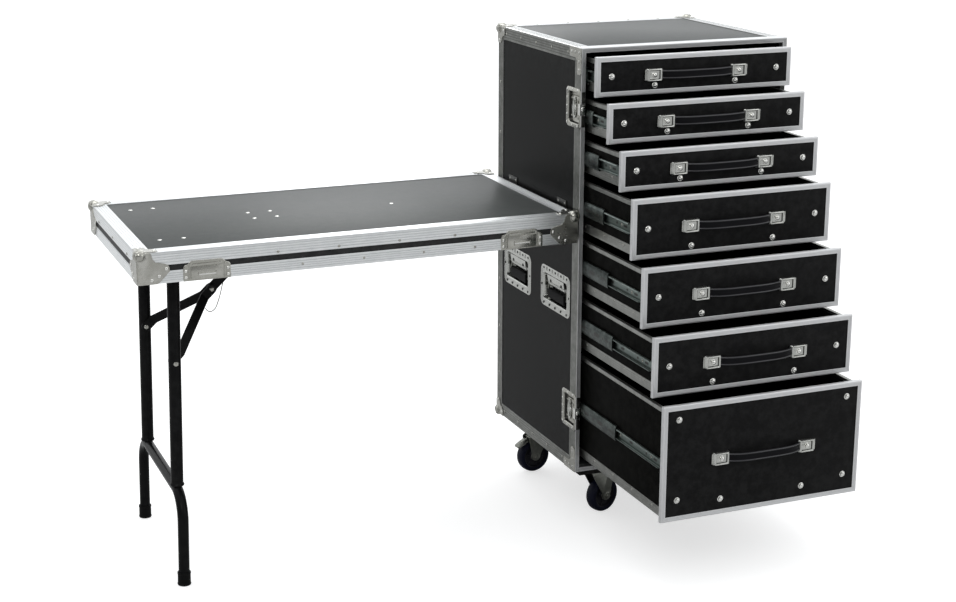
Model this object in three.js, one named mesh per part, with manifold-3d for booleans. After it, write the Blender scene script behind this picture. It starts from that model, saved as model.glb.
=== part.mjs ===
// A road case with seven drawers, its lid standing beside it as a side table on folding legs.
// Millimetres, +Z up. While the pieces are drawn, x = 0 is the cabinet's left outer face,
// y = 0 its front plane and z = 0 the floor. The last lines move the origin to the middle
// of the whole object's footprint.
import * as THREE from 'three';
import { mergeVertices } from 'three/addons/utils/BufferGeometryUtils.js';
import Module from 'manifold-3d';

const wasm = await Module();
wasm.setup();

// Cabinet
const caseWidth = 610;
const caseDepth = 550;
const caseHeight = 1160;
const sheet = 1.5;
const board = 9.5;
const wall = sheet + board + sheet;
const edgeFlange = 36;
const frameFlange = 40;
const frameReturn = 20;
const seatGap = 0.3;
const overrun = 5;
const baseThickness = 24;
const baseInset = 28;

// Casters
const casterHeight = 144;
const wheelRadius = 50;
const wheelWidth = 32;
const wheelChamfer = 5;
const axleRadius = 6;
const swivelX = 106;
const swivelY = 90;
const casterTrail = 28;
const casterPlate = 3;
const casterPlateSize = 96;
const crownRadius = 27;
const crownHeight = 11;
const forkPlate = 3;
const forkGap = 2.5;
const forkBoss = 13;
const pedalWidth = 30;
const pedalLength = 50;
const pedalPlate = 3;
const pedalAhead = 14;
const pedalAbove = 58;
const pedalSlope = 28.6;
const pedalBarrel = 4;
const frontTurn = 18;
const backTurn = 187;

// Latches, handles and corners
const latchPlateDepth = 92;
const latchPlateHeight = 104;
const latchPanInset = 14;
const latchPanTall = 80;
const latchPanDepth = 9.2;
const latchFromBottom = 169;
const latchFromTop = 159;
const pressedSheet = 1;
const plateProud = 1.2;
const wingLength = 58;
const wingWidth = 26;
const wingThickness = 2.5;
const wingHub = 9;
const clawWidth = 30;
const clawReach = 13;
const clawThickness = 2.5;
const handleClear = 11;
const handleGap = 68;
const handlePlateWidth = (caseDepth - handleGap) / 2 - frameFlange - handleClear;
const handlePlateHeight = 116;
const handleRim = 20;
const handlePanWidth = handlePlateWidth - 2 * handleRim;
const handlePanHeight = 72;
const handlePanDepth = 17.5;
const handleAboveSlide = 3.5;
const gripRadius = 8;
const gripEnd = 16;
const gripLength = handlePanWidth - 2 * gripEnd;
const bailArm = 26;
const bailPlate = 3;
const bailPivotAbove = 12;
const trunnionRadius = 3;
const cornerLeg = 48;
const cornerPlate = 2;
const ballRadius = 16;
const ballReach = 8;
const braceLeg = 70;
const braceWidth = 26;
const rivetRadius = 4;
const rivetHeight = 1.6;
const boltHeight = 1.2;

// Drawers, from the top
const smallShare = 0.0954;
const mediumShare = 0.1437;
const largeShare = 0.2827;
const frontShares = [smallShare, smallShare, smallShare, mediumShare, mediumShare, mediumShare, largeShare];
const topPull = 52;
const pulls = [topPull, 127, 202, 272, 337, 404, 464];
const frontWidth = 577;
const frontGap = 5.3;
const lowGap = 15.5;
const boxLength = 512;
const boxUnder = 12;
const boxBelowTop = 10;
const boxSide = 9;
const boxFloor = 6;
const frontLeg = 13;
const rimLeg = 9;
const footLeg = 24;
const footTurn = 15;
const rimSheet = 1;
const strapSpan = 297;
const strapWidth = 24;
const strapThickness = 5;
const strapRise = 20;
const strapEnd = 10;
const capLength = 48;
const capHeight = 34;
const capProud = 12;
const capSlope = 6;
const strapLift = 0.8;
const screwRadius = 7;
const screwHeight = 4;
const screwFromEnd = 45;
const screwFromMiddle = 119;
const screwFromBottom = 24;
const deepScrewFromBottom = 41;
const deepScrewTop = 38;
const deepScrewLow = 55;

// Drawer slides
const slideThickness = 12.7;
const slideSheet = 1.2;
const slideTall = 45;
const slideReach = 9.5;
const slideClear = 0.5;
const slideMemberTall = 28;
const slideStart = 22;
const slideLength = 500;

// Lid used as a table
const tableTop = 898;
const lidHeight = 79;
const lidGap = 10;
const lidFront = -10;
const lidUpperLeg = 34;
const lidLowerLeg = 30;
const lidLowerReturn = 15;
const lidCornerLength = 78;
const cornerRivetShares = [0.12, 0.5, 0.88];
const strikeLength = 117;
const strikeTall = 50;
const strikeMiddle = 88;
const strikeEndTall = 30;
const strikeProud = 2;
const strikeLip = 4;
const strikeLipLength = 40;
const edgeRivetStep = 160;
const hookWidth = 58;
const hookClear = 42;
const hookSpacing = caseDepth - 2 * (frameFlange + hookClear) - hookWidth;
const hookSheet = 2;
const hookPocket = 4;
const hookAboveTable = 14;
const hookBelowTop = 52;
const hookLipDrop = 22;
const tongueThickness = 2.2;
const tongueDrop = 24;

// Folding legs
const legInset = 113;
const legPivotDrop = 38;
const legSpread = 360;
const legTube = 32;
const legLean = 1.5;
const footSpread = 482;
const footTube = 28;
const footBarHeight = 240;
const footBend = 70;
const footCapDiameter = 35;
const footCapHeight = 36;
const footCapFloor = 6;
const pinRadius = 4;
const pinHeadHeight = 3;
const bracketLength = 84;
const bracketSheet = 2.5;
const bracketClear = 1;
const bracketDrop = 17;
const braceMountX = 278;
const braceMountDrop = 52;
const braceMountLength = 80;
const braceMountWidth = 84;
const braceRivet = 282;
const braceShare = 0.4975;
const barWidth = 26;
const barThickness = 4;
const barClear = 1;
const clipWidth = 40;
const wireRadius = 1.6;
const wireGap = 0.5;
const wireHoleShare = 0.38;
const wireDrop = 115;
const wireSwing = 71;
const wireShares = [[0, 0], [0.32, 0.36], [0.56, 0.89], [0.8, 1], [1, 0.91]];

const inwardTurn = Math.PI / 2;
const radians = Math.PI / 180;
const roundSides = 12;
const smallSides = 6;
const ballSides = 8;
const ballRings = 6;
const arcSteps = 5;
const wireArcSteps = 3;
const strapSteps = 8;
const strapFullness = 4;
const loopSteps = 28;
const wireSteps = 12;
const rivetSides = 6;

const caseBottom = casterHeight + baseThickness;
const caseTop = caseBottom + caseHeight;
const boardOut = sheet;
const boardIn = sheet + board;
const lidLength = caseHeight;
const lidWidth = caseWidth;
const lidRight = -lidGap;
const lidLeft = lidRight - lidLength;
const lidBack = lidFront + lidWidth;
const lidBottom = tableTop - lidHeight;
const lidMiddle = lidFront + lidWidth / 2;
const lidCeiling = tableTop - sheet - board;

const colours = {
  laminate: { color: 0x141414, roughness: 0.55, metalness: 0 },
  aluminium: { color: 0xc4c8cc, roughness: 0.35, metalness: 0.9 },
  nickel: { color: 0xb9b7b0, roughness: 0.3, metalness: 0.95 },
  blackSteel: { color: 0x111111, roughness: 0.4, metalness: 0.4 },
  zinc: { color: 0x9fb3bd, roughness: 0.35, metalness: 0.9 },
  rubber: { color: 0x101010, roughness: 0.8, metalness: 0 },
  wheelBlue: { color: 0x15206a, roughness: 0.6, metalness: 0 },
};

// Solids

// A box whose faces lie exactly on the given planes, so that neighbours meet face to face
function block(x0, x1, y0, y1, z0, z1) {
  const geometry = new THREE.BoxGeometry();
  const corners = geometry.attributes.position;
  for (let i = 0; i < corners.count; i += 1) {
    const x = corners.getX(i) < 0 ? x0 : x1;
    const y = corners.getY(i) < 0 ? y0 : y1;
    const z = corners.getZ(i) < 0 ? z0 : z1;
    corners.setXYZ(i, x, y, z);
  }
  return geometry;
}

const upright = new THREE.Vector3(0, 1, 0);

function rod(from, to, radius, sides = roundSides) {
  const along = new THREE.Vector3().subVectors(to, from);
  const geometry = new THREE.CylinderGeometry(radius, radius, along.length(), sides);
  const turn = new THREE.Quaternion().setFromUnitVectors(upright, along.clone().normalize());
  geometry.applyQuaternion(turn);
  const middle = new THREE.Vector3().addVectors(from, to).multiplyScalar(1 / 2);
  return geometry.translate(middle.x, middle.y, middle.z);
}

function dome(at, outward, radius, height, sides) {
  const geometry = new THREE.CylinderGeometry(radius / 2, radius, height + seatGap, sides);
  geometry.applyQuaternion(new THREE.Quaternion().setFromUnitVectors(upright, outward));
  const middle = at.clone().addScaledVector(outward, (height - seatGap) / 2);
  return geometry.translate(middle.x, middle.y, middle.z);
}

function bare(geometry) {
  const copy = geometry.clone();
  copy.deleteAttribute('normal');
  copy.deleteAttribute('uv');
  copy.clearGroups();
  return mergeVertices(copy);
}

function toSolid(geometry) {
  const merged = bare(geometry);
  const vertProperties = new Float32Array(merged.attributes.position.array);
  const triVerts = new Uint32Array(merged.index.array);
  return new wasm.Manifold(new wasm.Mesh({ numProp: 3, vertProperties, triVerts }));
}

function toGeometry(solid) {
  const mesh = solid.getMesh();
  const geometry = new THREE.BufferGeometry();
  geometry.setAttribute('position', new THREE.BufferAttribute(new Float32Array(mesh.vertProperties), 3));
  geometry.setIndex(new THREE.BufferAttribute(new Uint32Array(mesh.triVerts), 1));
  return geometry;
}

function join(pieces, holes = []) {
  let solid = toSolid(pieces[0]);
  for (const piece of pieces.slice(1)) {
    solid = solid.add(toSolid(piece));
  }
  for (const hole of holes) {
    solid = solid.subtract(toSolid(hole));
  }
  return toGeometry(solid);
}

function flip(geometry) {
  const index = geometry.index.array;
  for (let i = 0; i < index.length; i += 3) {
    [index[i], index[i + 1]] = [index[i + 1], index[i]];
  }
  return geometry;
}

// A copy with some axes mirrored about a point, its faces still pointing out
function mirrored(geometry, signX, signY, signZ, centre = new THREE.Vector3()) {
  const copy = bare(geometry);
  copy.translate(-centre.x, -centre.y, -centre.z);
  copy.scale(signX, signY, signZ);
  copy.translate(centre.x, centre.y, centre.z);
  return signX * signY * signZ < 0 ? flip(copy) : copy;
}

function outline(points) {
  return new THREE.Shape(points.map(([u, v]) => new THREE.Vector2(u, v)));
}

function capsule(length, width) {
  const radius = width / 2;
  const half = length / 2 - radius;
  const shape = new THREE.Shape();
  shape.absarc(0, half, radius, 0, Math.PI, false);
  shape.absarc(0, -half, radius, Math.PI, 2 * Math.PI, false);
  return shape;
}

const model = new THREE.Group();

function add(name, pieces, colour, parent = model) {
  const mesh = new THREE.Mesh(join(pieces), new THREE.MeshStandardMaterial(colours[colour]));
  mesh.name = name;
  parent.add(mesh);
  return mesh;
}

const middleX = new THREE.Vector3(caseWidth / 2, 0, 0);
const toRight = (geometry) => mirrored(geometry, -1, 1, 1, middleX);

// Where the drawers stand; each one's slides and strap are at its middle height

const drawers = [];
const frontsTall = caseHeight - 2 * wall - frontShares.length * frontGap - lowGap;
let frontTop = caseTop - wall - frontGap;
frontShares.forEach((share, i) => {
  const bottom = frontTop - share * frontsTall;
  drawers.push({ number: i + 1, top: frontTop, bottom, pull: pulls[i], deep: share === largeShare });
  frontTop = bottom - frontGap;
});
const middleZ = (drawer) => (drawer.top + drawer.bottom) / 2;

// Recessed dishes in the cabinet's sides: the handles' pans sit over the last but one pair of slides

const latchHeights = [caseTop - latchFromTop, caseBottom + latchFromBottom];
const latchMiddleY = latchPlateDepth / 2;
const handleSpacing = handlePlateWidth + handleGap;
const handleYs = [caseDepth / 2 - handleSpacing / 2, caseDepth / 2 + handleSpacing / 2];
const slideBelow = middleZ(drawers[drawers.length - 2]);
const handleHeight = slideBelow + slideTall / 2 + handleAboveSlide + handlePanHeight / 2;

function latchPan(z, grow) {
  const y0 = latchPanInset - grow;
  const y1 = latchPlateDepth - latchPanInset + grow;
  const half = latchPanTall / 2 + grow;
  return block(-overrun, boardOut + latchPanDepth, y0, y1, z - half, z + half);
}

function handlePan(y, grow, depth) {
  const halfWidth = handlePanWidth / 2 + grow;
  const half = handlePanHeight / 2 + grow;
  return block(-overrun, boardOut + depth, y - halfWidth, y + halfWidth,
    handleHeight - half, handleHeight + half);
}

function latchDish(z) {
  const half = latchPlateHeight / 2;
  const panHalf = latchPanTall / 2;
  const plate = block(boardOut - plateProud, boardOut, sheet, latchPlateDepth, z - half, z + half);
  const y1 = latchPlateDepth - latchPanInset;
  const shell = block(boardOut - plateProud, boardOut + latchPanDepth, latchPanInset, y1,
    z - panHalf, z + panHalf);
  const inner = block(-overrun, boardOut + latchPanDepth - pressedSheet, latchPanInset + pressedSheet,
    y1 - pressedSheet, z - panHalf + pressedSheet, z + panHalf - pressedSheet);
  return join([plate, shell], [inner]);
}

// The retracted claw that catches the lid, lying over the front edge of the dish
function latchClaw(z) {
  const half = clawWidth / 2;
  const x1 = boardOut - plateProud;
  return block(x1 - clawThickness, x1, sheet, clawReach, z - half, z + half);
}

function latchWing(z) {
  const depth = boardOut + latchPanDepth - pressedSheet - seatGap;
  const wing = new THREE.ExtrudeGeometry(capsule(wingLength, wingWidth), {
    depth: wingThickness, bevelEnabled: false, curveSegments: arcSteps,
  });
  wing.rotateX(inwardTurn);
  wing.rotateZ(inwardTurn);
  wing.computeBoundingBox();
  wing.translate(boardOut - wing.boundingBox.min.x, latchMiddleY, z);
  const hub = rod(new THREE.Vector3(boardOut + wingThickness / 2, latchMiddleY, z),
    new THREE.Vector3(depth, latchMiddleY, z), wingHub);
  return join([wing, hub]);
}

function handleDish(y) {
  const halfWidth = handlePlateWidth / 2;
  const half = handlePlateHeight / 2;
  const plate = block(boardOut - plateProud, boardOut, y - halfWidth, y + halfWidth,
    handleHeight - half, handleHeight + half);
  const panHalf = handlePanWidth / 2;
  const panTall = handlePanHeight / 2;
  const shell = block(boardOut - plateProud, boardOut + handlePanDepth, y - panHalf, y + panHalf,
    handleHeight - panTall, handleHeight + panTall);
  const innerHalf = panHalf - pressedSheet;
  const innerTall = panTall - pressedSheet;
  const inner = block(-overrun, boardOut + handlePanDepth - pressedSheet, y - innerHalf, y + innerHalf,
    handleHeight - innerTall, handleHeight + innerTall);
  return join([plate, shell], [inner]);
}

const gripX = boardOut + gripRadius;
const bailZ = handleHeight + bailPivotAbove;

function handleGrip(y) {
  const gripZ = bailZ - bailArm;
  const half = gripLength / 2;
  const grip = rod(new THREE.Vector3(gripX, y - half, gripZ),
    new THREE.Vector3(gripX, y + half, gripZ), gripRadius);
  const pieces = [grip];
  const reach = handlePanWidth / 2 - pressedSheet - seatGap;
  for (const side of [-1, 1]) {
    const armY = y + side * half;
    const armEnd = armY - side * bailPlate;
    pieces.push(block(gripX - gripRadius / 2, gripX + gripRadius / 2,
      Math.min(armY, armEnd), Math.max(armY, armEnd), gripZ, bailZ + gripRadius / 2));
    pieces.push(rod(new THREE.Vector3(gripX, armY - side * bailPlate / 2, bailZ),
      new THREE.Vector3(gripX, y + side * reach, bailZ), trunnionRadius, smallSides));
  }
  return join(pieces);
}

// Cabinet boards

const sideHoles = [
  ...latchHeights.map((z) => latchPan(z, seatGap)),
  ...handleYs.map((y) => handlePan(y, seatGap, handlePanDepth)),
];
const sideBoard = block(boardOut, boardIn, sheet, caseDepth - sheet, caseBottom + sheet, caseTop - sheet);
const leftSide = join([sideBoard], sideHoles);
const innerRight = caseWidth - boardIn;
const carcassBoards = [
  leftSide, toRight(leftSide),
  ...[caseTop - sheet - board, caseBottom + sheet].map((z) => (
    block(boardIn, innerRight, sheet, caseDepth - sheet, z, z + board))),
  block(boardIn, innerRight, caseDepth - boardIn, caseDepth - sheet, caseBottom + sheet, caseTop - sheet),
];

// Edging on the cabinet

function angleBar(axis, from, to, corner, legs, thickness) {
  const [u, v] = corner;
  const [legU, legV] = legs;
  const spread = (value, leg) => [Math.min(value, value + leg), Math.max(value, value + leg)];
  const thinU = Math.sign(legU) * thickness;
  const thinV = Math.sign(legV) * thickness;
  const place = {
    x: (us, vs) => block(from, to, ...us, ...vs),
    y: (us, vs) => block(...us, from, to, ...vs),
    z: (us, vs) => block(...us, ...vs, from, to),
  }[axis];
  return join([place(spread(u, legU), spread(v, thinV)), place(spread(u, thinU), spread(v, legV))]);
}

const rearStop = caseDepth - edgeFlange;
const leftBars = [
  angleBar('y', frameFlange, rearStop, [0, caseTop], [edgeFlange, -edgeFlange], sheet),
  angleBar('y', frameFlange, rearStop, [0, caseBottom], [edgeFlange, edgeFlange], sheet),
  angleBar('z', caseBottom, caseTop, [0, caseDepth], [edgeFlange, -edgeFlange], sheet),
];
const rearBars = [
  angleBar('x', 0, caseWidth, [caseDepth, caseTop], [-edgeFlange, -edgeFlange], sheet),
  angleBar('x', 0, caseWidth, [caseDepth, caseBottom], [-edgeFlange, edgeFlange], sheet),
];

// A rectangular collar round the drawer opening, from one depth to another
function collar(inset, thickness, y0, y1) {
  const outer = block(inset, caseWidth - inset, y0, y1, caseBottom + inset, caseTop - inset);
  const inner = inset + thickness;
  const hole = block(inner, caseWidth - inner, y0 - overrun, y1 + overrun,
    caseBottom + inner, caseTop - inner);
  return join([outer], [hole]);
}

const latchNotches = latchHeights.map((z) => {
  const half = latchPlateHeight / 2 + seatGap;
  return block(-overrun, boardOut, sheet, frameFlange + overrun, z - half, z + half);
});
const frontFrame = join(
  [collar(0, sheet, 0, frameFlange), collar(0, wall, 0, sheet), collar(boardIn, sheet, 0, frameReturn)],
  [...latchNotches, ...latchNotches.map(toRight)],
);

// Ball corners and flat braces

function ballCorner(legX, legY, legZ) {
  const near = cornerPlate;
  const ball = new THREE.SphereGeometry(ballRadius, ballSides, ballRings);
  const centre = ballRadius - ballReach;
  ball.translate(centre, centre, centre);
  const plates = [
    block(-near, legX, -near, legY, -near, overrun),
    block(-near, legX, -near, overrun, -near, legZ),
    block(-near, overrun, -near, legY, -near, legZ),
  ];
  const reach = legX + legY + legZ;
  return join([...plates, ball], [block(0, reach, 0, reach, 0, reach)]);
}

function cornerAt(corner, x, y, z, signX, signY, signZ) {
  return mirrored(corner, signX, signY, signZ).translate(x, y, z);
}

function rivetHead(x, y, z, outward) {
  return dome(new THREE.Vector3(x, y, z), outward, rivetRadius, rivetHeight, rivetSides);
}

const caseBall = ballCorner(cornerLeg, cornerLeg, cornerLeg);
const outX = new THREE.Vector3(-1, 0, 0);
const outBack = new THREE.Vector3(0, 1, 0);
const outFront = new THREE.Vector3(0, -1, 0);
const baseSpace = block(baseInset - seatGap, caseWidth / 2, baseInset, caseDepth - baseInset + seatGap,
  casterHeight, caseBottom);
const cornerPieces = [];
const bracePieces = [];
for (const [z, signZ] of [[caseTop, -1], [caseBottom, 1]]) {
  cornerPieces.push(join([cornerAt(caseBall, 0, caseDepth, z, 1, -1, signZ)], [baseSpace]));
  const legEnd = z + signZ * braceLeg;
  const bandEnd = z + signZ * braceWidth;
  const brace = join([
    block(-cornerPlate, 0, sheet, braceWidth, Math.min(z, legEnd), Math.max(z, legEnd)),
    block(-cornerPlate, 0, sheet, braceLeg, Math.min(z, bandEnd), Math.max(z, bandEnd)),
  ]);
  bracePieces.push(brace);
  const rivetZ = z + signZ * (braceLeg - braceWidth / 2);
  bracePieces.push(rivetHead(-cornerPlate, braceWidth / 2, rivetZ, outX));
  bracePieces.push(rivetHead(-cornerPlate, braceLeg - braceWidth / 2, z + signZ * braceWidth / 2, outX));
  const fromEdge = 2 * rivetRadius;
  cornerPieces.push(rivetHead(-cornerPlate, caseDepth - cornerLeg + fromEdge, z + signZ * fromEdge, outX));
  cornerPieces.push(rivetHead(cornerLeg - fromEdge, caseDepth + cornerPlate, z + signZ * fromEdge, outBack));
}
add('cabinet_edging', [
  ...leftBars, ...leftBars.map(toRight), ...rearBars, ...cornerPieces, ...cornerPieces.map(toRight),
], 'aluminium');

// Latches and handles, two of each on both sides

const frameFittings = [...bracePieces, ...latchHeights.flatMap((z) => [latchDish(z), latchClaw(z)])];
add('front_frame', [frontFrame, ...frameFittings, ...frameFittings.map(toRight)], 'aluminium');

const sides = [['left', (geometry) => geometry], ['right', toRight]];
for (const [side, place] of sides) {
  latchHeights.forEach((z, i) => {
    add(`latch_wing_${side}_${i === 0 ? 'upper' : 'lower'}`, [place(latchWing(z))], 'nickel');
  });
  handleYs.forEach((y, i) => {
    const end = i === 0 ? 'front' : 'rear';
    add(`handle_dish_${side}_${end}`, [place(handleDish(y))], 'nickel');
    add(`handle_grip_${side}_${end}`, [place(handleGrip(y))], 'rubber');
  });
}

// Drawer slides: each member is a channel that opens away from the web it hangs on

function channel(webX, flangeX, half, y0, y1, z) {
  const inward = Math.sign(flangeX - webX);
  const webEnd = webX + inward * slideSheet;
  const web = block(Math.min(webX, webEnd), Math.max(webX, webEnd), y0, y1, z - half, z + half);
  const flanges = [-1, 1].map((side) => {
    const outer = z + side * half;
    const inner = outer - side * slideSheet;
    return block(Math.min(webX, flangeX), Math.max(webX, flangeX), y0, y1,
      Math.min(outer, inner), Math.max(outer, inner));
  });
  return join([web, ...flanges]);
}

const slideMemberReach = slideThickness - 2 * (slideSheet + slideClear);
const slideEnd = slideStart + slideLength;
const cabinetMembers = drawers.map((drawer) => (
  channel(boardIn, boardIn + slideReach, slideTall / 2, slideStart, slideEnd, middleZ(drawer))));
add('cabinet_carcass', [...carcassBoards, ...cabinetMembers, ...cabinetMembers.map(toRight)], 'laminate');

function slideMiddle(drawer) {
  const webX = boardIn + slideSheet + slideClear;
  const half = slideTall / 2 - slideSheet - slideClear;
  const y0 = slideStart - drawer.pull / 2;
  return channel(webX, webX + slideReach - slideSheet, half, y0, y0 + slideLength, middleZ(drawer));
}

// Drawers, drawn closed and then pulled out

const frontLeft = (caseWidth - frontWidth) / 2;
const frontRight = caseWidth - frontLeft;
const boxLeft = boardIn + slideThickness;
const boxRight = caseWidth - boxLeft;
const boxBack = sheet + board + boxLength;

function drawerBox({ top, bottom }) {
  const z0 = bottom + boxUnder;
  const z1 = top - boxBelowTop;
  const front = block(frontLeft + sheet, frontRight - sheet, sheet, boardIn, bottom + sheet, top - sheet);
  const outer = block(boxLeft, boxRight, sheet + board / 2, boxBack, z0, z1);
  const inner = block(boxLeft + boxSide, boxRight - boxSide, boardIn, boxBack - boxSide,
    z0 + boxFloor, top + overrun);
  return join([toGeometry(toSolid(outer).subtract(toSolid(inner))), front]);
}

function strapHandle(z) {
  const half = strapSpan / 2 - capLength + strapEnd;
  const face = sheet - strapLift;
  const near = [];
  const far = [];
  for (let i = 0; i <= strapSteps; i += 1) {
    const across = (i / strapSteps) * 2 - 1;
    const rise = strapRise * (1 - across ** strapFullness);
    near.push([across * half, face - rise * (1 - strapThickness / strapRise)]);
    far.push([across * half, face - rise - strapThickness]);
  }
  const band = outline([...near, ...far.reverse()]);
  const strap = new THREE.ExtrudeGeometry(band, { depth: strapWidth, bevelEnabled: false });
  return strap.translate(caseWidth / 2, 0, z - strapWidth / 2);
}

// A nickel end cap with sloped ends, screwed down over the strap's end
function strapCap(x, side, z) {
  const profile = outline([
    [0, 0], [capLength, 0], [capLength, -capProud + capSlope], [capLength - capSlope, -capProud],
    [capSlope, -capProud], [0, -capProud + capSlope],
  ]);
  const body = new THREE.ExtrudeGeometry(profile, { depth: capHeight, bevelEnabled: false });
  body.translate(-capLength, sheet, z - capHeight / 2);
  const screw = dome(new THREE.Vector3(-capLength / 2, sheet - capProud, z), outFront,
    screwRadius, screwHeight, smallSides);
  return [body, screw].map((piece) => mirrored(piece, side, 1, 1).translate(x, 0, 0));
}

function drawerScrews(drawer) {
  const rows = drawer.deep ? [drawer.top - deepScrewTop, drawer.bottom + deepScrewLow] : [middleZ(drawer)];
  const spots = rows.flatMap((z) => [[frontLeft + screwFromEnd, z], [frontRight - screwFromEnd, z]]);
  const low = drawer.bottom + (drawer.deep ? deepScrewFromBottom : screwFromBottom);
  spots.push([caseWidth / 2 - screwFromMiddle, low], [caseWidth / 2 + screwFromMiddle, low]);
  return spots.map(([x, z]) => (
    dome(new THREE.Vector3(x, sheet, z), outFront, screwRadius, screwHeight, smallSides)));
}

function drawerTrim(drawer) {
  const { top, bottom } = drawer;
  const opening = block(frontLeft + frontLeg, frontRight - frontLeg, -overrun, sheet + overrun,
    bottom + frontLeg, top - frontLeg);
  const face = join([block(frontLeft, frontRight, 0, sheet, bottom, top)], [opening]);
  const within = block(frontLeft + sheet, frontRight - sheet, -overrun, boardIn + overrun,
    bottom + sheet, top - sheet);
  const band = join([block(frontLeft, frontRight, 0, boardIn, bottom, top)], [within]);
  const ring = join([face, band]);
  const z0 = bottom + boxUnder;
  const z1 = top - boxBelowTop;
  const rim = join([
    block(boxLeft - rimSheet, boxLeft, boardIn, boxBack, z1 - rimLeg, z1 + rimSheet),
    block(boxLeft - rimSheet, boxLeft + boxSide, boardIn, boxBack, z1, z1 + rimSheet),
  ]);
  const foot = join([
    block(boxLeft - rimSheet, boxLeft, boardIn, boxBack, z0 - rimSheet, z0 + footLeg),
    block(boxLeft - rimSheet, boxLeft + footTurn, boardIn, boxBack, z0 - rimSheet, z0),
  ]);
  const middle = middleZ(drawer);
  const member = channel(boxLeft, boxLeft - slideMemberReach, slideMemberTall / 2,
    slideStart, slideEnd, middle);
  const left = [rim, foot, member];
  const half = strapSpan / 2;
  return [
    ring, ...left, ...left.map(toRight), ...drawerScrews(drawer),
    ...strapCap(caseWidth / 2 + half, 1, middle), ...strapCap(caseWidth / 2 - half, -1, middle),
  ];
}

for (const drawer of drawers) {
  const pulled = new THREE.Group();
  pulled.position.y = -drawer.pull;
  model.add(pulled);
  const pieces = [drawerBox(drawer), strapHandle(middleZ(drawer)), ...drawerTrim(drawer)];
  add(`drawer_${drawer.number}`, pieces, 'laminate', pulled);
  for (const [side, place] of sides) {
    add(`slide_mid_${drawer.number}_${side}`, [place(slideMiddle(drawer))], 'zinc');
  }
}

// Casters

function casterFork(brake) {
  const half = wheelWidth / 2 + forkGap;
  const crownTop = casterHeight - casterPlate - seatGap;
  const crownBottom = crownTop - crownHeight;
  const axle = casterTrail;
  const knuckle = brake ? pedalAhead + pedalBarrel : pedalAhead - pedalBarrel;
  const side = outline([
    [-crownRadius, crownBottom + sheet], [axle - forkBoss, wheelRadius - forkBoss / 2],
    [axle, wheelRadius - forkBoss], [axle + forkBoss, wheelRadius - forkBoss / 2],
    [axle + knuckle + forkBoss / 2, wheelRadius + pedalAbove], [axle + pedalBarrel, crownBottom + sheet],
  ]);
  const leg = new THREE.ExtrudeGeometry(side, { depth: forkPlate, bevelEnabled: false });
  leg.rotateX(inwardTurn);
  const legs = [leg.clone().translate(0, half + forkPlate, 0), leg.clone().translate(0, -half, 0)];
  const bridge = block(-crownRadius, axle + pedalBarrel, -half - forkPlate, half + forkPlate,
    crownBottom, crownBottom + forkPlate);
  const crown = new THREE.CylinderGeometry(crownRadius, crownRadius + pedalBarrel, crownHeight, roundSides);
  crown.rotateX(inwardTurn);
  crown.translate(0, 0, crownTop - crownHeight / 2);
  const reach = half + forkPlate + axleRadius / 2;
  const shaft = rod(new THREE.Vector3(axle, -reach, wheelRadius),
    new THREE.Vector3(axle, reach, wheelRadius), axleRadius);
  return join([crown, bridge, ...legs, shaft]);
}

function casterWheel() {
  const half = wheelWidth / 2;
  const bore = axleRadius + seatGap;
  const profile = [
    [bore, -half], [wheelRadius - wheelChamfer, -half], [wheelRadius, -half + wheelChamfer],
    [wheelRadius, half - wheelChamfer], [wheelRadius - wheelChamfer, half], [bore, half], [bore, -half],
  ];
  const wheel = new THREE.LatheGeometry(profile.map(([r, h]) => new THREE.Vector2(r, h)), 2 * roundSides);
  return wheel.translate(casterTrail, 0, wheelRadius);
}

function brakePedal() {
  const hinge = new THREE.Vector3(casterTrail + pedalAhead, 0, wheelRadius + pedalAbove);
  const half = pedalWidth / 2;
  const pinReach = wheelWidth / 2 + forkGap - seatGap;
  const plate = block(0, pedalLength, -half, half, -pedalPlate / 2, pedalPlate / 2);
  plate.rotateY(pedalSlope * radians);
  plate.translate(hinge.x, 0, hinge.z);
  const from = new THREE.Vector3(hinge.x, -pinReach, hinge.z);
  return join([plate, rod(from, new THREE.Vector3(hinge.x, pinReach, hinge.z), pedalBarrel)]);
}

const casterSpots = [
  ['front_left', swivelX, swivelY, frontTurn, true],
  ['back_left', swivelX, caseDepth - swivelY, backTurn, true],
  ['front_right', caseWidth - swivelX, swivelY, frontTurn, false],
  ['back_right', caseWidth - swivelX, caseDepth - swivelY, backTurn, false],
];
const plateHalf = casterPlateSize / 2;
const casterPlates = [];
for (const [where, x, y, turn, brake] of casterSpots) {
  const caster = new THREE.Group();
  caster.position.set(x, y, 0);
  caster.rotation.z = turn * radians;
  model.add(caster);
  add(`caster_fork_${where}`, [casterFork(brake)], 'zinc', caster);
  add(`caster_wheel_${where}`, [casterWheel()], 'wheelBlue', caster);
  if (brake) {
    add(`brake_pedal_${where}`, [brakePedal()], 'zinc', caster);
  }
  casterPlates.push(block(x - plateHalf, x + plateHalf, y - plateHalf, y + plateHalf,
    casterHeight - casterPlate, casterHeight));
}
add('base_board', [
  block(baseInset, caseWidth - baseInset, baseInset, caseDepth - baseInset, casterHeight, caseBottom),
  ...casterPlates,
], 'laminate');

// The lid as a table: tray, edging, corners and latch strikes

const lidBlock = block(lidLeft + sheet, lidRight - sheet, lidFront + sheet, lidBack - sheet,
  lidBottom + sheet, tableTop - sheet);
const lidHollow = block(lidLeft + boardIn, lidRight - boardIn, lidFront + boardIn, lidBack - boardIn,
  lidBottom - overrun, lidCeiling);
const lidTray = join([lidBlock], [lidHollow]);

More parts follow.
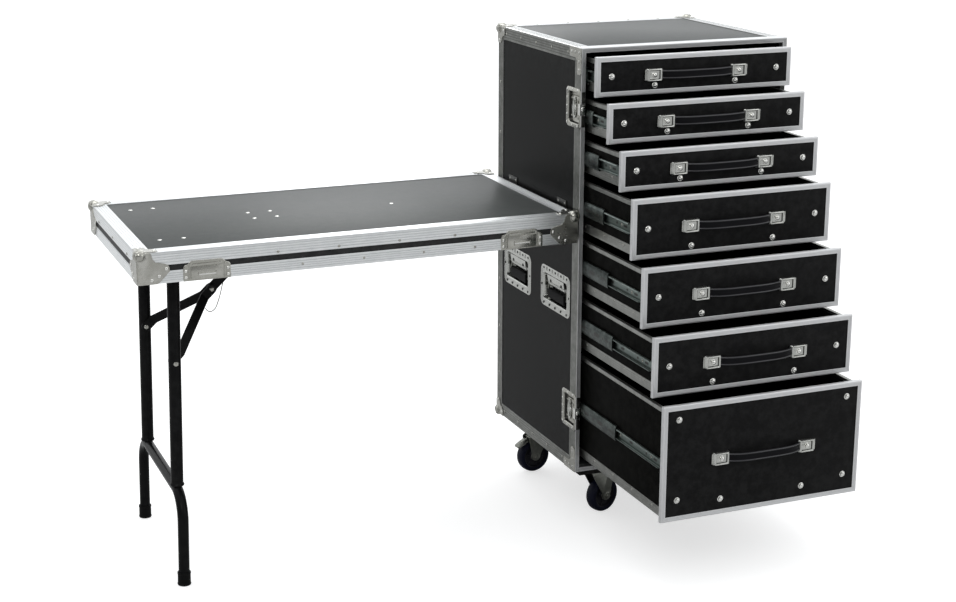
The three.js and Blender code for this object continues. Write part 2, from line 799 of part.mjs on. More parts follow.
const endBar = [lidFront + edgeFlange, lidBack - edgeFlange];
const upperBars = [
  angleBar('x', lidLeft, lidRight, [lidFront, tableTop], [edgeFlange, -lidUpperLeg], sheet),
  angleBar('x', lidLeft, lidRight, [lidBack, tableTop], [-edgeFlange, -lidUpperLeg], sheet),
  angleBar('y', ...endBar, [lidLeft, tableTop], [edgeFlange, -lidUpperLeg], sheet),
  angleBar('y', ...endBar, [lidRight, tableTop], [-edgeFlange, -lidUpperLeg], sheet),
];

// A rectangular collar under the lid's walls, drawn like the frame round the drawers
function lidCollar(inset, thickness, z1) {
  const outer = block(lidLeft + inset, lidRight - inset, lidFront + inset, lidBack - inset, lidBottom, z1);
  const inner = inset + thickness;
  const hole = block(lidLeft + inner, lidRight - inner, lidFront + inner, lidBack - inner,
    lidBottom - overrun, z1 + overrun);
  return join([outer], [hole]);
}

const closing = join([
  lidCollar(0, sheet, lidBottom + lidLowerLeg),
  lidCollar(0, wall, lidBottom + sheet),
  lidCollar(boardIn, sheet, lidBottom + lidLowerReturn),
]);

const lidBall = ballCorner(lidCornerLength, lidCornerLength, lidHeight);
const lidCentre = new THREE.Vector3((lidLeft + lidRight) / 2, lidMiddle, 0);
const up = new THREE.Vector3(0, 0, 1);
const quarter = [cornerAt(lidBall, lidLeft, lidFront, tableTop, 1, 1, -1)];
const lidPlateFace = lidFront - cornerPlate;
for (const share of cornerRivetShares) {
  const x = lidLeft + lidCornerLength - 2 * rivetRadius - share * lidCornerLength / 2;
  const z = lidBottom + 2 * rivetRadius + (1 - share) * lidLowerLeg;
  quarter.push(rivetHead(x, lidPlateFace, z, outFront));
}

// A plate with low ends, and the lip in its middle that a latch's claw pulls on
function strike(x) {
  const half = strikeLength / 2;
  const face = lidFront - strikeProud;
  const middle = strikeMiddle / 2;
  const lip = strikeLipLength / 2;
  const lipBottom = lidBottom + strikeEndTall / 2;
  return join([
    block(x - half, x + half, face, lidFront, lidBottom, lidBottom + strikeEndTall),
    block(x - middle, x + middle, face, lidFront, lidBottom, lidBottom + strikeTall),
    block(x - lip, x + lip, face - strikeLip, lidFront, lipBottom, lipBottom + strikeLip),
  ]);
}

const strikes = [strike(lidLeft + latchFromBottom), strike(lidRight - latchFromTop)];
const frontRivets = [];
const rivetStop = lidRight - 2 * edgeRivetStep + edgeFlange;
for (let x = lidLeft + 2 * edgeRivetStep; x < rivetStop; x += edgeRivetStep) {
  frontRivets.push(rivetHead(x, lidFront, tableTop - lidUpperLeg / 2, outFront));
}
const frontHalf = [...strikes, ...frontRivets];
const toBack = (geometry) => mirrored(geometry, 1, -1, 1, lidCentre);
const toEnd = (geometry) => mirrored(geometry, -1, 1, 1, lidCentre);
const leftEnd = [...quarter, ...quarter.map(toBack)];
const legX = lidLeft + legInset;
const mountX = legX + braceMountX + barThickness / 2;
const topRivets = [];
const bracketBolt = bracketLength / 2 - 3 * rivetRadius;
for (const side of [-1, 1]) {
  for (const end of [-1, 1]) {
    topRivets.push([legX + end * bracketBolt, lidMiddle + side * legSpread / 2]);
    topRivets.push([mountX + end * bracketBolt, lidMiddle + side * (braceMountWidth / 2 - 2 * rivetRadius)]);
  }
}
const clipX = legX + braceMountX + legSpread;
topRivets.push([clipX, lidMiddle]);

// Hooks that carry the lid on the cabinet's left side, and the lid's tongues in them

const hookYs = [caseDepth / 2 - hookSpacing / 2, caseDepth / 2 + hookSpacing / 2];
const hookFloor = tableTop - hookBelowTop;
const lipTop = tableTop - hookLipDrop;
const hookFace = boardOut - hookSheet;
const lipX = hookFace - hookPocket;

function tableHook(y) {
  const half = hookWidth / 2;
  return join([
    block(hookFace, boardOut, y - half, y + half, hookFloor - hookSheet, tableTop + hookAboveTable),
    block(lipX - hookSheet, boardOut, y - half, y + half, hookFloor - hookSheet, hookFloor),
    block(lipX - hookSheet, lipX, y - half, y + half, hookFloor - hookSheet, lipTop),
  ]);
}

function lidTongue(y) {
  const half = hookWidth / 2 - hookSheet;
  const x1 = hookFace - (hookPocket - tongueThickness) / 2;
  const seat = lipTop + seatGap;
  return join([
    block(lidRight, x1, y - half, y + half, seat, seat + hookSheet),
    block(x1 - tongueThickness, x1, y - half, y + half, seat - tongueDrop, seat + hookSheet),
  ]);
}

const [frontHook, rearHook] = hookYs.map(tableHook);
add('table_hook_front', [frontHook], 'nickel');
add('table_hook_rear', [rearHook], 'nickel');
add('lid_edging', [
  ...upperBars, closing, ...leftEnd, ...leftEnd.map(toEnd), ...frontHalf, ...frontHalf.map(toBack),
  ...hookYs.map(lidTongue),
], 'aluminium');

// Leg brackets, brace mount and leg clip, all bolted under the lid's board

const pivotZ = tableTop - legPivotDrop;
const mountZ = tableTop - braceMountDrop;

// A bent plate with two ears and the pin that a tube or bar turns on
function ears(x, y, z, length, width, inside, boss) {
  const halfIn = inside / 2 + bracketClear;
  const halfLength = length / 2;
  const base = block(x - halfLength, x + halfLength, y - width / 2, y + width / 2,
    lidCeiling - bracketSheet, lidCeiling);
  const pieces = [base];
  for (const side of [-1, 1]) {
    const near = y + side * halfIn;
    const far = near + side * bracketSheet;
    pieces.push(block(x - boss, x + boss, Math.min(near, far), Math.max(near, far),
      z - boss / 2, lidCeiling));
    pieces.push(rod(new THREE.Vector3(x, near, z), new THREE.Vector3(x, far, z), boss));
  }
  const reach = halfIn + bracketSheet + pinHeadHeight;
  pieces.push(rod(new THREE.Vector3(x, y - reach, z), new THREE.Vector3(x, y + reach, z), pinRadius));
  return join(pieces);
}

const legYs = [lidMiddle - legSpread / 2, lidMiddle + legSpread / 2];
const bracketWidth = legTube + 2 * (bracketClear + bracketSheet);
const [frontBracket, rearBracket] = legYs.map((y) => (
  ears(legX, y, pivotZ, bracketLength, bracketWidth, legTube, bracketDrop)));
add('leg_bracket_front', [frontBracket], 'blackSteel');
add('leg_bracket_rear', [rearBracket], 'blackSteel');
const mountBoss = bracketDrop / 2 + pinRadius;
const mount = ears(mountX, lidMiddle, mountZ, braceMountLength, braceMountWidth, barThickness, mountBoss);
const clipHalf = clipWidth / 2;
const clip = block(clipX - clipHalf, clipX + clipHalf, lidMiddle - clipHalf, lidMiddle + clipHalf,
  lidCeiling - bracketSheet, lidCeiling);
const boltHeads = topRivets.map(([x, y]) => (
  dome(new THREE.Vector3(x, y, tableTop - sheet), up, rivetRadius, boltHeight, rivetSides)));
add('lid_shell', [lidTray, mount, clip, ...boltHeads], 'laminate');

// Leg frame, drawn hanging straight down from its pivots and then leaned outward

const legs = new THREE.Group();
legs.position.set(legX, lidMiddle, pivotZ);
legs.rotation.y = legLean * radians;
model.add(legs);
const capRadius = footCapDiameter / 2;
const legLength = (pivotZ - capRadius * Math.sin(legLean * radians)) / Math.cos(legLean * radians);
const tubeEnd = legLength - footCapFloor;
const barDepth = legLength - footBarHeight;

function footLoop() {
  const half = footSpread / 2;
  const at = (y, z) => new THREE.Vector3(0, y, z);
  const path = new THREE.CurvePath();
  path.add(new THREE.LineCurve3(at(-half, -tubeEnd), at(-half, -barDepth - footBend)));
  path.add(new THREE.QuadraticBezierCurve3(
    at(-half, -barDepth - footBend), at(-half, -barDepth), at(-half + footBend, -barDepth)));
  path.add(new THREE.LineCurve3(at(-half + footBend, -barDepth), at(half - footBend, -barDepth)));
  path.add(new THREE.QuadraticBezierCurve3(
    at(half - footBend, -barDepth), at(half, -barDepth), at(half, -barDepth - footBend)));
  path.add(new THREE.LineCurve3(at(half, -barDepth - footBend), at(half, -tubeEnd)));
  const section = new THREE.Shape();
  section.absarc(0, 0, footTube / 2, 0, 2 * Math.PI, false);
  return new THREE.ExtrudeGeometry(section, {
    steps: loopSteps, extrudePath: path, curveSegments: arcSteps, bevelEnabled: false,
  });
}

function pinHole(y, x, z, radius) {
  const half = legTube;
  return rod(new THREE.Vector3(x, y - half, z), new THREE.Vector3(x, y + half, z), radius + seatGap);
}

const legPieces = [footLoop()];
const legHoles = [];
for (const y of [-legSpread / 2, legSpread / 2]) {
  legPieces.push(rod(new THREE.Vector3(0, y, legTube / 2), new THREE.Vector3(0, y, -barDepth), legTube / 2));
  legHoles.push(pinHole(y, 0, 0, pinRadius), pinHole(y, 0, -braceRivet, pinRadius));
}
add('leg_frame', [join(legPieces, legHoles)], 'blackSteel', legs);

for (const [where, y] of [['front', -footSpread / 2], ['rear', footSpread / 2]]) {
  const top = new THREE.Vector3(0, y, footCapHeight - legLength);
  const outer = rod(new THREE.Vector3(0, y, -legLength), top, capRadius);
  const bore = rod(new THREE.Vector3(0, y, -seatGap - tubeEnd), top.clone().setZ(top.z + overrun),
    (footTube / 2 + seatGap) / Math.cos(Math.PI / roundSides));
  add(`foot_cap_${where}`, [join([outer], [bore])], 'rubber', legs);
}

// Brace: a V of two bars from the uprights to a middle joint, and a link from there to the lid

const lean = new THREE.Vector3(-Math.sin(legLean * radians), 0, -Math.cos(legLean * radians));
const rivet = new THREE.Vector3(legX, lidMiddle, pivotZ).addScaledVector(lean, braceRivet);
const mountPin = new THREE.Vector3(mountX, lidMiddle, mountZ);
const joint = rivet.clone().lerp(mountPin, braceShare);
const braceLine = new THREE.Vector3().subVectors(mountPin, rivet).normalize();
const wireY = barThickness / 2 + wireGap + wireRadius;
const earInner = wireY + wireRadius + wireGap;

// A flat bar between two points, its broad face square to the given direction
function flatBar(from, to, normal) {
  const along = new THREE.Vector3().subVectors(to, from);
  const geometry = new THREE.BoxGeometry(along.length(), barWidth, barThickness);
  const u = along.clone().normalize();
  const w = normal.clone().addScaledVector(u, -normal.dot(u)).normalize();
  const v = new THREE.Vector3().crossVectors(w, u);
  geometry.applyMatrix4(new THREE.Matrix4().makeBasis(u, v, w));
  const middle = new THREE.Vector3().addVectors(from, to).multiplyScalar(1 / 2);
  return geometry.translate(middle.x, middle.y, middle.z);
}

function braceArm(side) {
  const across = new THREE.Vector3(0, side, 0);
  const edge = legSpread / 2 - legTube / 2 - barClear;
  const earY = earInner + barThickness / 2;
  const low = rivet.clone().addScaledVector(across, edge - barThickness / 2);
  const high = joint.clone().addScaledVector(across, earY);
  const slope = new THREE.Vector3().crossVectors(braceLine, across).normalize();
  const disc = (centre) => rod(centre.clone().addScaledVector(across, -barThickness / 2),
    centre.clone().addScaledVector(across, barThickness / 2), barWidth / 2);
  const tabTop = low.clone().addScaledVector(braceLine, barWidth);
  const earLow = high.clone().addScaledVector(braceLine, -barWidth);
  const pinFrom = low.clone().addScaledVector(across, -barThickness / 2);
  const pinTo = rivet.clone().addScaledVector(across, legSpread / 2 + legTube / 2 + pinHeadHeight);
  const cutBetween = (y0, y1) => block(joint.x - legSpread, joint.x + legSpread,
    Math.min(y0, y1), Math.max(y0, y1), joint.z - legSpread, joint.z + legSpread);
  const slot = cutBetween(lidMiddle + side * earInner, lidMiddle - side * legSpread);
  const trim = cutBetween(lidMiddle + side * edge, lidMiddle + side * legSpread);
  const bars = [
    flatBar(tabTop, earLow, slope), flatBar(low, tabTop, across), flatBar(earLow, high, across),
    disc(low), disc(high),
  ];
  return join([join(bars, [slot, trim]), rod(pinFrom, pinTo, pinRadius)]);
}

add('brace_arm_front', [braceArm(-1)], 'blackSteel');
add('brace_arm_rear', [braceArm(1)], 'blackSteel');

const across = new THREE.Vector3(0, 1, 0);
const linkSide = (centre, radius) => rod(centre.clone().addScaledVector(across, -barThickness / 2),
  centre.clone().addScaledVector(across, barThickness / 2), radius);
const wirePost = joint.clone().lerp(mountPin, wireHoleShare);
const link = join([
  flatBar(joint, mountPin, across),
  linkSide(joint, barWidth / 2),
  linkSide(mountPin, barWidth / 2),
], [
  pinHole(lidMiddle, mountPin.x, mountPin.z, pinRadius),
  pinHole(lidMiddle, wirePost.x, wirePost.z, wireRadius),
]);
add('brace_link', [link], 'blackSteel');

// The wire that hangs from the link and drops over the joint when the legs are open
const wireAt = ([out, down]) => (
  new THREE.Vector3(wirePost.x - out * wireSwing, lidMiddle + wireY, wirePost.z - down * wireDrop));
const wirePath = new THREE.CatmullRomCurve3(wireShares.map(wireAt));
const wireSection = new THREE.Shape();
wireSection.absarc(0, 0, wireRadius, 0, 2 * Math.PI, false);
const wire = new THREE.ExtrudeGeometry(wireSection, {
  steps: wireSteps, extrudePath: wirePath, curveSegments: wireArcSteps, bevelEnabled: false,
});
const wireEye = rod(new THREE.Vector3(wirePost.x, lidMiddle - wireY, wirePost.z),
  new THREE.Vector3(wirePost.x, lidMiddle + wireY + wireRadius, wirePost.z), wireRadius);
add('lock_wire', [wire, wireEye], 'zinc');

// Origin: middle of the footprint of the whole object, on the floor
const reachRight = caseWidth + ballReach;
const reachLeft = lidLeft - ballReach;
const reachBack = lidBack + ballReach;
const reachFront = -pulls[pulls.length - 1] - strapRise - strapThickness;
model.position.set(-(reachRight + reachLeft) / 2, -(reachBack + reachFront) / 2, 0);

export default model;
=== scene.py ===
import math
import bmesh
import bpy
from mathutils import Matrix, Vector


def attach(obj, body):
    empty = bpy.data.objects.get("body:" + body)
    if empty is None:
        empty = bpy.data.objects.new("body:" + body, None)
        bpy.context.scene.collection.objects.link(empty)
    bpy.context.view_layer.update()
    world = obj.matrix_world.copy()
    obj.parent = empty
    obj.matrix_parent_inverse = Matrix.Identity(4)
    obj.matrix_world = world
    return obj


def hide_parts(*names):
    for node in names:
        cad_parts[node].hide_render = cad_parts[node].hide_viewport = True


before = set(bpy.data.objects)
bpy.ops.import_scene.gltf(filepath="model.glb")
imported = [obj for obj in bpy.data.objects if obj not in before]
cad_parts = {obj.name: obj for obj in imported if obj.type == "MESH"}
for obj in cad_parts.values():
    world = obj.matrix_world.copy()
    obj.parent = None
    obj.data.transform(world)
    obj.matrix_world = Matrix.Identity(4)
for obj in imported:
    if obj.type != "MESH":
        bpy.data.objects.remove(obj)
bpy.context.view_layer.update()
print("frame loaded")

mm = 0.001
drawnZero = Vector((0.28, -0.0595, 0))  # the drawing's zero: cabinet's left side, front plane, floor
right = Vector((1, 0, 0))
back = Vector((0, 1, 0))
up = Vector((0, 0, 1))

view = {
    "place": (-1.6569, -4.0884, 1.9068), "azimuth": -22.195, "elevation": 15.593, "roll": 0.04,
    "lens": 65.46, "sensor": 36, "shift": (0.0021, -0.0021), "farthest": 60,
}
lights = {
    "key": {"place": (-2.6, -4.4, 4.4), "size": 2.6, "power": 60},
    "fill": {"place": (3.8, -4.2, 2.4), "size": 3.0, "power": 24},
    "top": {"place": (0.4, 0.8, 5.2), "size": 3.6, "power": 60},
    "rear": {"place": (1.0, 4.1, 2.7), "size": 1.5, "power": 17, "aim": (-0.6, 0.0, 0.9)},
}
lightAim = (0, 0, 0.7)
# the sky is brightest behind, to the right and above, darkest low on the left
sky = {"towards": (0.4, 0.55, 0.73), "facing": (-0.45, 0.55), "level": (0.3, 1.3),
    "colour": (0.97, 0.985, 1.0, 1)}
ground = {"half": 60, "colour": (0.56, 0.56, 0.56, 1), "rough": 0.9, "gloss": 0.1, "lift": 0.62}


def addNode(tree, kind, inputs=None, **settings):
    # a socket among the inputs is linked, anything else becomes the input's own value
    node = tree.nodes.new(kind)
    for key, value in settings.items():
        setattr(node, key, value)
    for key, value in (inputs or {}).items():
        if isinstance(value, bpy.types.NodeSocket):
            tree.links.new(value, node.inputs[key])
        else:
            node.inputs[key].default_value = value
    return node


def ramp(tree, source, low, high, first=0.0, last=1.0):
    values = {0: source, 1: low, 2: high, 3: first, 4: last}
    return addNode(tree, "ShaderNodeMapRange", values).outputs[0]


def reckon(tree, kind, a, b, clamp=False):
    return addNode(tree, "ShaderNodeMath", {0: a, 1: b}, operation=kind, use_clamp=clamp).outputs[0]


def times(tree, a, b):
    return reckon(tree, "MULTIPLY", a, b)


def noise(tree, place, scale, detail, rough, bend=0.0):
    values = {"Vector": place, "Scale": scale, "Detail": detail, "Roughness": rough, "Distortion": bend}
    return addNode(tree, "ShaderNodeTexNoise", values).outputs["Fac"]


def addCamera():
    cam = bpy.data.objects.new("camera", bpy.data.cameras.new("camera"))
    cam.data.lens = view["lens"]
    cam.data.sensor_width = view["sensor"]
    cam.data.shift_x, cam.data.shift_y = view["shift"]
    cam.data.clip_end = view["farthest"]
    turn = Matrix.Rotation(math.radians(view["azimuth"]), 4, "Z")
    tilt = Matrix.Rotation(math.radians(90 - view["elevation"]), 4, "X")
    roll = Matrix.Rotation(math.radians(view["roll"]), 4, "Z")
    cam.matrix_world = Matrix.Translation(view["place"]) @ turn @ tilt @ roll
    bpy.context.collection.objects.link(cam)
    bpy.context.scene.camera = cam


def addLights():
    for name, row in lights.items():
        lamp = bpy.data.lights.new(name, "AREA")
        lamp.shape = "DISK"
        lamp.size = row["size"]
        lamp.energy = row["power"]
        obj = bpy.data.objects.new(name, lamp)
        obj.location = row["place"]
        aim = Vector(row.get("aim", lightAim)) - Vector(row["place"])
        obj.rotation_euler = aim.to_track_quat("-Z", "Y").to_euler()
        obj.visible_camera = False
        bpy.context.collection.objects.link(obj)


def addSky():
    world = bpy.data.worlds.new("studio")
    bpy.context.scene.world = world
    world.use_nodes = True
    tree = world.node_tree
    place = addNode(tree, "ShaderNodeTexCoord").outputs["Generated"]
    facing = addNode(tree, "ShaderNodeVectorMath", {0: place, 1: sky["towards"]}, operation="DOT_PRODUCT")
    level = ramp(tree, facing.outputs["Value"], *sky["facing"], *sky["level"])
    # seen straight, the sky is as white as the floor
    straight = addNode(tree, "ShaderNodeLightPath").outputs["Is Camera Ray"]
    shade = tree.nodes["Background"]
    tree.links.new(reckon(tree, "MAXIMUM", level, straight), shade.inputs["Strength"])
    shade.inputs["Color"].default_value = sky["colour"]
    bpy.context.scene.view_settings.view_transform = "Standard"


def addFloor():
    mesh = bpy.data.meshes.new("floor")
    s = ground["half"]
    mesh.from_pydata([(-s, -s, 0), (s, -s, 0), (s, s, 0), (-s, s, 0)], [], [(0, 1, 2, 3)])
    floor = bpy.data.objects.new("floor", mesh)
    bpy.context.collection.objects.link(floor)
    mat = bpy.data.materials.new("floor")
    mat.use_nodes = True
    tree = mat.node_tree
    shader = tree.nodes["Principled BSDF"]
    shader.inputs["Base Color"].default_value = ground["colour"]
    shader.inputs["Roughness"].default_value = ground["rough"]
    shader.inputs["Specular IOR Level"].default_value = ground["gloss"]
    # seen straight, the floor is lifted to nearly white, so only a faint shadow is left
    straight = addNode(tree, "ShaderNodeLightPath").outputs["Is Camera Ray"]
    tree.links.new(times(tree, straight, ground["lift"]), shader.inputs["Emission Strength"])
    shader.inputs["Emission Color"].default_value = (1, 1, 1, 1)
    floor.data.materials.append(mat)


addCamera()
addLights()
addSky()
addFloor()
print("stage ready")


# shader node groups: each puts out masks or values that vary over the surface

def newGroup(name, inputs, outputs):
    tree = bpy.data.node_groups.new(name, "ShaderNodeTree")
    for label, value in inputs.items():
        socket = tree.interface.new_socket(label, in_out="INPUT", socket_type="NodeSocketFloat")
        socket.default_value = value
    for label in outputs:
        tree.interface.new_socket(label, in_out="OUTPUT", socket_type="NodeSocketFloat")
    return tree, tree.nodes.new("NodeGroupInput").outputs, tree.nodes.new("NodeGroupOutput").inputs


def makeGrain():
    # fine pebbled grain for laminate, powder coat and rubber, with broad cloudiness
    tree, start, end = newGroup("grain", {"Scale": 900.0, "Cloud": 6.0}, ("Grain", "Cloud"))
    place = addNode(tree, "ShaderNodeTexCoord").outputs["Object"]
    tree.links.new(noise(tree, place, start["Scale"], 3.0, 0.6), end["Grain"])
    broad = noise(tree, place, start["Cloud"], 4.0, 0.65)
    tree.links.new(ramp(tree, broad, 0.3, 0.7), end["Cloud"])
    return tree


def makeBrush():
    # fine lines drawn along a bar: u runs along it in metres
    tree, start, end = newGroup("brush", {"Across": 2600.0, "Along": 5.0}, ("Lines", "Streaks"))
    laid = addNode(tree, "ShaderNodeUVMap").outputs[0]
    parts = addNode(tree, "ShaderNodeSeparateXYZ", {0: laid}).outputs
    u = times(tree, parts[0], start["Along"])
    v = times(tree, parts[1], start["Across"])
    place = addNode(tree, "ShaderNodeCombineXYZ", {0: u, 1: v}).outputs[0]
    tree.links.new(noise(tree, place, 1.0, 3.0, 0.7), end["Lines"])
    tree.links.new(noise(tree, place, 0.12, 2.0, 0.5), end["Streaks"])
    return tree


def makeWear():
    # rubbed edges and scattered scuffs
    tree, start, end = newGroup("wear", {"Edge": 0.5, "Scuffs": 0.3}, ("Mask",))
    place = addNode(tree, "ShaderNodeTexCoord").outputs["Object"]
    bend = addNode(tree, "ShaderNodeNewGeometry").outputs["Pointiness"]
    blotch = noise(tree, place, 45.0, 5.0, 0.7)
    scratch = noise(tree, place, 210.0, 2.0, 0.8, 2.0)
    edge = times(tree, ramp(tree, bend, 0.52, 0.62), ramp(tree, blotch, 0.4, 0.62))
    scuff = times(tree, ramp(tree, scratch, 0.62, 0.72), ramp(tree, blotch, 0.5, 0.66))
    edge = times(tree, edge, start["Edge"])
    scuff = times(tree, scuff, start["Scuffs"])
    tree.links.new(reckon(tree, "ADD", edge, scuff, True), end["Mask"])
    return tree


def makeDust():
    # a thin film on faces that look up
    tree, start, end = newGroup("dust", {"Amount": 0.1}, ("Mask",))
    place = addNode(tree, "ShaderNodeTexCoord").outputs["Object"]
    normal = addNode(tree, "ShaderNodeNewGeometry").outputs["Normal"]
    facing = addNode(tree, "ShaderNodeSeparateXYZ", {0: normal}).outputs[2]
    film = ramp(tree, noise(tree, place, 14.0, 6.0, 0.7), 0.35, 0.75, 0.35, 1.0)
    mask = times(tree, ramp(tree, facing, 0.4, 1.0), film)
    tree.links.new(times(tree, mask, start["Amount"]), end["Mask"])
    return tree


grain = makeGrain()
brush = makeBrush()
wear = makeWear()
dust = makeDust()
dustColour = (0.42, 0.41, 0.39)

# what the finishes of a kind have in common: roughFrom and span say how the texture drives the roughness
coated = {"group": grain, "broad": "Cloud", "fine": "Grain", "roughFrom": "Grain", "span": (0.25, 0.75),
    "metal": 0.0, "inputs": ("Scale", "Cloud"), "drive": (1500.0, 5.0), "edge": 0.4, "scuffs": 0.02,
    "rough": (0.34, 0.46), "bump": 0.25, "depth": 0.0003, "gloss": 0.06}
brushed = {"group": brush, "broad": "Streaks", "fine": "Lines", "roughFrom": "Lines", "span": (0.3, 0.7),
    "metal": 1.0, "inputs": ("Across", "Along"), "drive": (2600.0, 6.0), "edge": 0.2, "scuffs": 0.1,
    "bump": 0.15, "depth": 0.0002, "gloss": 0.5}
plated = {"group": grain, "broad": "Cloud", "fine": "Grain", "roughFrom": "Cloud", "span": (0.0, 1.0),
    "metal": 1.0, "inputs": ("Scale", "Cloud"), "drive": (700.0, 30.0), "edge": 0.5, "scuffs": 0.1,
    "bump": 0.1, "depth": 0.0003, "gloss": 0.5}


def mixed(tree, factor, first, second):
    # colours are given as triples or as sockets
    first, second = [(*c, 1) if isinstance(c, tuple) else c for c in (first, second)]
    return addNode(tree, "ShaderNodeMix", {0: factor, 6: first, 7: second}, data_type="RGBA").outputs[2]


def finish(name, kind, dark, light, worn, **changes):
    look = {**kind, **changes}
    mat = bpy.data.materials.new(name)
    mat.use_nodes = True
    tree = mat.node_tree
    shader = tree.nodes["Principled BSDF"].inputs
    shader["Metallic"].default_value = look["metal"]
    shader["Specular IOR Level"].default_value = look["gloss"]
    drive = dict(zip(look["inputs"], look["drive"]))
    texture = addNode(tree, "ShaderNodeGroup", drive, node_tree=look["group"]).outputs
    amounts = {"Edge": look["edge"], "Scuffs": look["scuffs"]}
    rubbed = addNode(tree, "ShaderNodeGroup", amounts, node_tree=wear).outputs["Mask"]
    base = mixed(tree, texture[look["broad"]], dark, light)
    base = mixed(tree, rubbed, base, worn)
    if look.get("dust"):
        film = addNode(tree, "ShaderNodeGroup", {"Amount": look["dust"]}, node_tree=dust).outputs["Mask"]
        base = mixed(tree, film, base, dustColour)
    tree.links.new(base, shader["Base Color"])
    tree.links.new(ramp(tree, texture[look["roughFrom"]], *look["span"], *look["rough"]), shader["Roughness"])
    values = {"Strength": look["bump"], "Distance": look["depth"], "Height": texture[look["fine"]]}
    tree.links.new(addNode(tree, "ShaderNodeBump", values).outputs["Normal"], shader["Normal"])
    return mat


def grey(level):
    return (level, level, level)


# the laminate is one black material in colour copies painted for the light on their faces: the tops and the
# table lightest, as painted light from above, the lid's walls less, and the drawer fronts and the sides
# darkest, as painted shade
litTopColours = ((0.056, 0.061, 0.0593), (0.062, 0.0672, 0.0656), grey(0.09))
laminate = finish("laminate", coated, *litTopColours, scuffs=0.05, dust=0.01, gloss=0.075)
laminateTable = finish("laminateTable", coated, *litTopColours, scuffs=0.05, dust=0.01, gloss=0.058)
laminateSideShade = finish("laminateSideShade", coated, (0.0042, 0.0043, 0.004), (0.0047, 0.0048, 0.0045), grey(0.03))
laminateLidLit = finish("laminateLidLit", coated, (0.019, 0.0195, 0.0198), (0.022, 0.0225, 0.0228), grey(0.05))
laminateFrontShade = finish("laminateFrontShade", coated, (0.0071, 0.0071, 0.0072), (0.0076, 0.0076, 0.0077),
    grey(0.03), scuffs=0.01, rough=(0.47, 0.53), bump=0.1, gloss=0.04)
drawerBoard = finish("drawerBoard", coated, (0.0024, 0.0024, 0.0021), (0.0032, 0.0032, 0.0028),
    (0.02, 0.02, 0.018), drive=(1200.0, 6.0), rough=(0.5, 0.62), gloss=0.02)
boardEdge = finish("boardEdge", coated, grey(0.005), (0.009, 0.0085, 0.008), (0.04, 0.035, 0.03),
    drive=(700.0, 20.0), edge=0.3, scuffs=0.2, rough=(0.6, 0.8), bump=0.4, depth=0.0005, gloss=0.1)
blackSteel = finish("blackSteel", coated, (0.004, 0.004, 0.0042), (0.006, 0.006, 0.0062), grey(0.06),
    drive=(1100.0, 14.0), edge=0.15, scuffs=0.03, rough=(0.2, 0.3), bump=0.15)
rubber = finish("rubber", coated, grey(0.0035), grey(0.0055), grey(0.02),
    drive=(1300.0, 18.0), edge=0.3, scuffs=0.1, rough=(0.45, 0.6), bump=0.3, depth=0.0004, gloss=0.07)
strapLook = {"drive": (900.0, 24.0), "edge": 0.3, "scuffs": 0.04, "depth": 0.0002}
strapBlack = finish("strapBlack", coated, (0.0038, 0.0038, 0.0046), (0.005, 0.005, 0.006),
    (0.015, 0.015, 0.016), **strapLook, rough=(0.3, 0.4), bump=0.12)
strapBeadHighlight = finish("strapBeadHighlight", coated, (0.01, 0.01, 0.0125), (0.013, 0.013, 0.016), (0.03, 0.03, 0.032),
    **strapLook, rough=(0.16, 0.24), bump=0.1, gloss=0.6)
wheelBlue = finish("wheelBlue", coated, (0.0024, 0.003, 0.0095), (0.004, 0.005, 0.016), (0.016, 0.018, 0.034),
    drive=(800.0, 18.0), edge=0.3, scuffs=0.15, rough=(0.4, 0.56), bump=0.3, depth=0.0004, gloss=0.12)
wheelHub = finish("wheelHub", coated, (0.006, 0.006, 0.009), (0.01, 0.01, 0.014), (0.04, 0.04, 0.05),
    drive=(900.0, 18.0), edge=0.3, scuffs=0.2, rough=(0.35, 0.5), bump=0.2, gloss=0.25)

# brushed aluminium as lit and shaded copies of one finish, each followed by a darker copy that paints shade
# on the floor of its grooves where it has them: the first is lit for the tops, and the trim, frame, rail and
# side copies are darker, painted shade for faces that look forward or sideways
barLook = {"edge": 0.4, "scuffs": 0.15}
aluminium = finish("aluminium", brushed, (0.66, 0.677, 0.68), (0.8, 0.816, 0.82), (0.88, 0.89, 0.89),
    **barLook, rough=(0.26, 0.4))
grooveShade = finish("grooveShade", brushed, (0.55, 0.564, 0.568), (0.67, 0.684, 0.688), (0.78, 0.79, 0.8),
    rough=(0.4, 0.55))
trimAluminium = finish("trimAluminium", brushed, (0.58, 0.584, 0.588), (0.68, 0.684, 0.688),
    (0.8, 0.8, 0.805), edge=0.3, rough=(0.46, 0.6))
trimGroove = finish("trimGroove", brushed, (0.5, 0.504, 0.508), (0.58, 0.584, 0.588), (0.7, 0.7, 0.705),
    rough=(0.5, 0.62))
frameAluminium = finish("frameAluminium", brushed, (0.44, 0.444, 0.444), (0.54, 0.545, 0.545),
    (0.66, 0.665, 0.665), edge=0.3, rough=(0.42, 0.56))
frameGroove = finish("frameGroove", brushed, (0.34, 0.344, 0.344), (0.42, 0.425, 0.425), (0.55, 0.554, 0.554),
    rough=(0.46, 0.6))
aluminiumSideShade = finish("aluminiumSideShade", brushed, (0.13, 0.133, 0.122), (0.2, 0.204, 0.19), (0.4, 0.4, 0.385),
    **barLook, rough=(0.3, 0.44))
grooveSideShade = finish("grooveSideShade", brushed, (0.11, 0.113, 0.104), (0.17, 0.174, 0.162), (0.34, 0.34, 0.325),
    rough=(0.42, 0.56))
railAluminium = finish("railAluminium", brushed, (0.2, 0.203, 0.19), (0.3, 0.304, 0.286), (0.46, 0.46, 0.44),
    **barLook, rough=(0.34, 0.48))
slideLook = {"drive": (1400.0, 9.0), "edge": 0.4, "scuffs": 0.2}
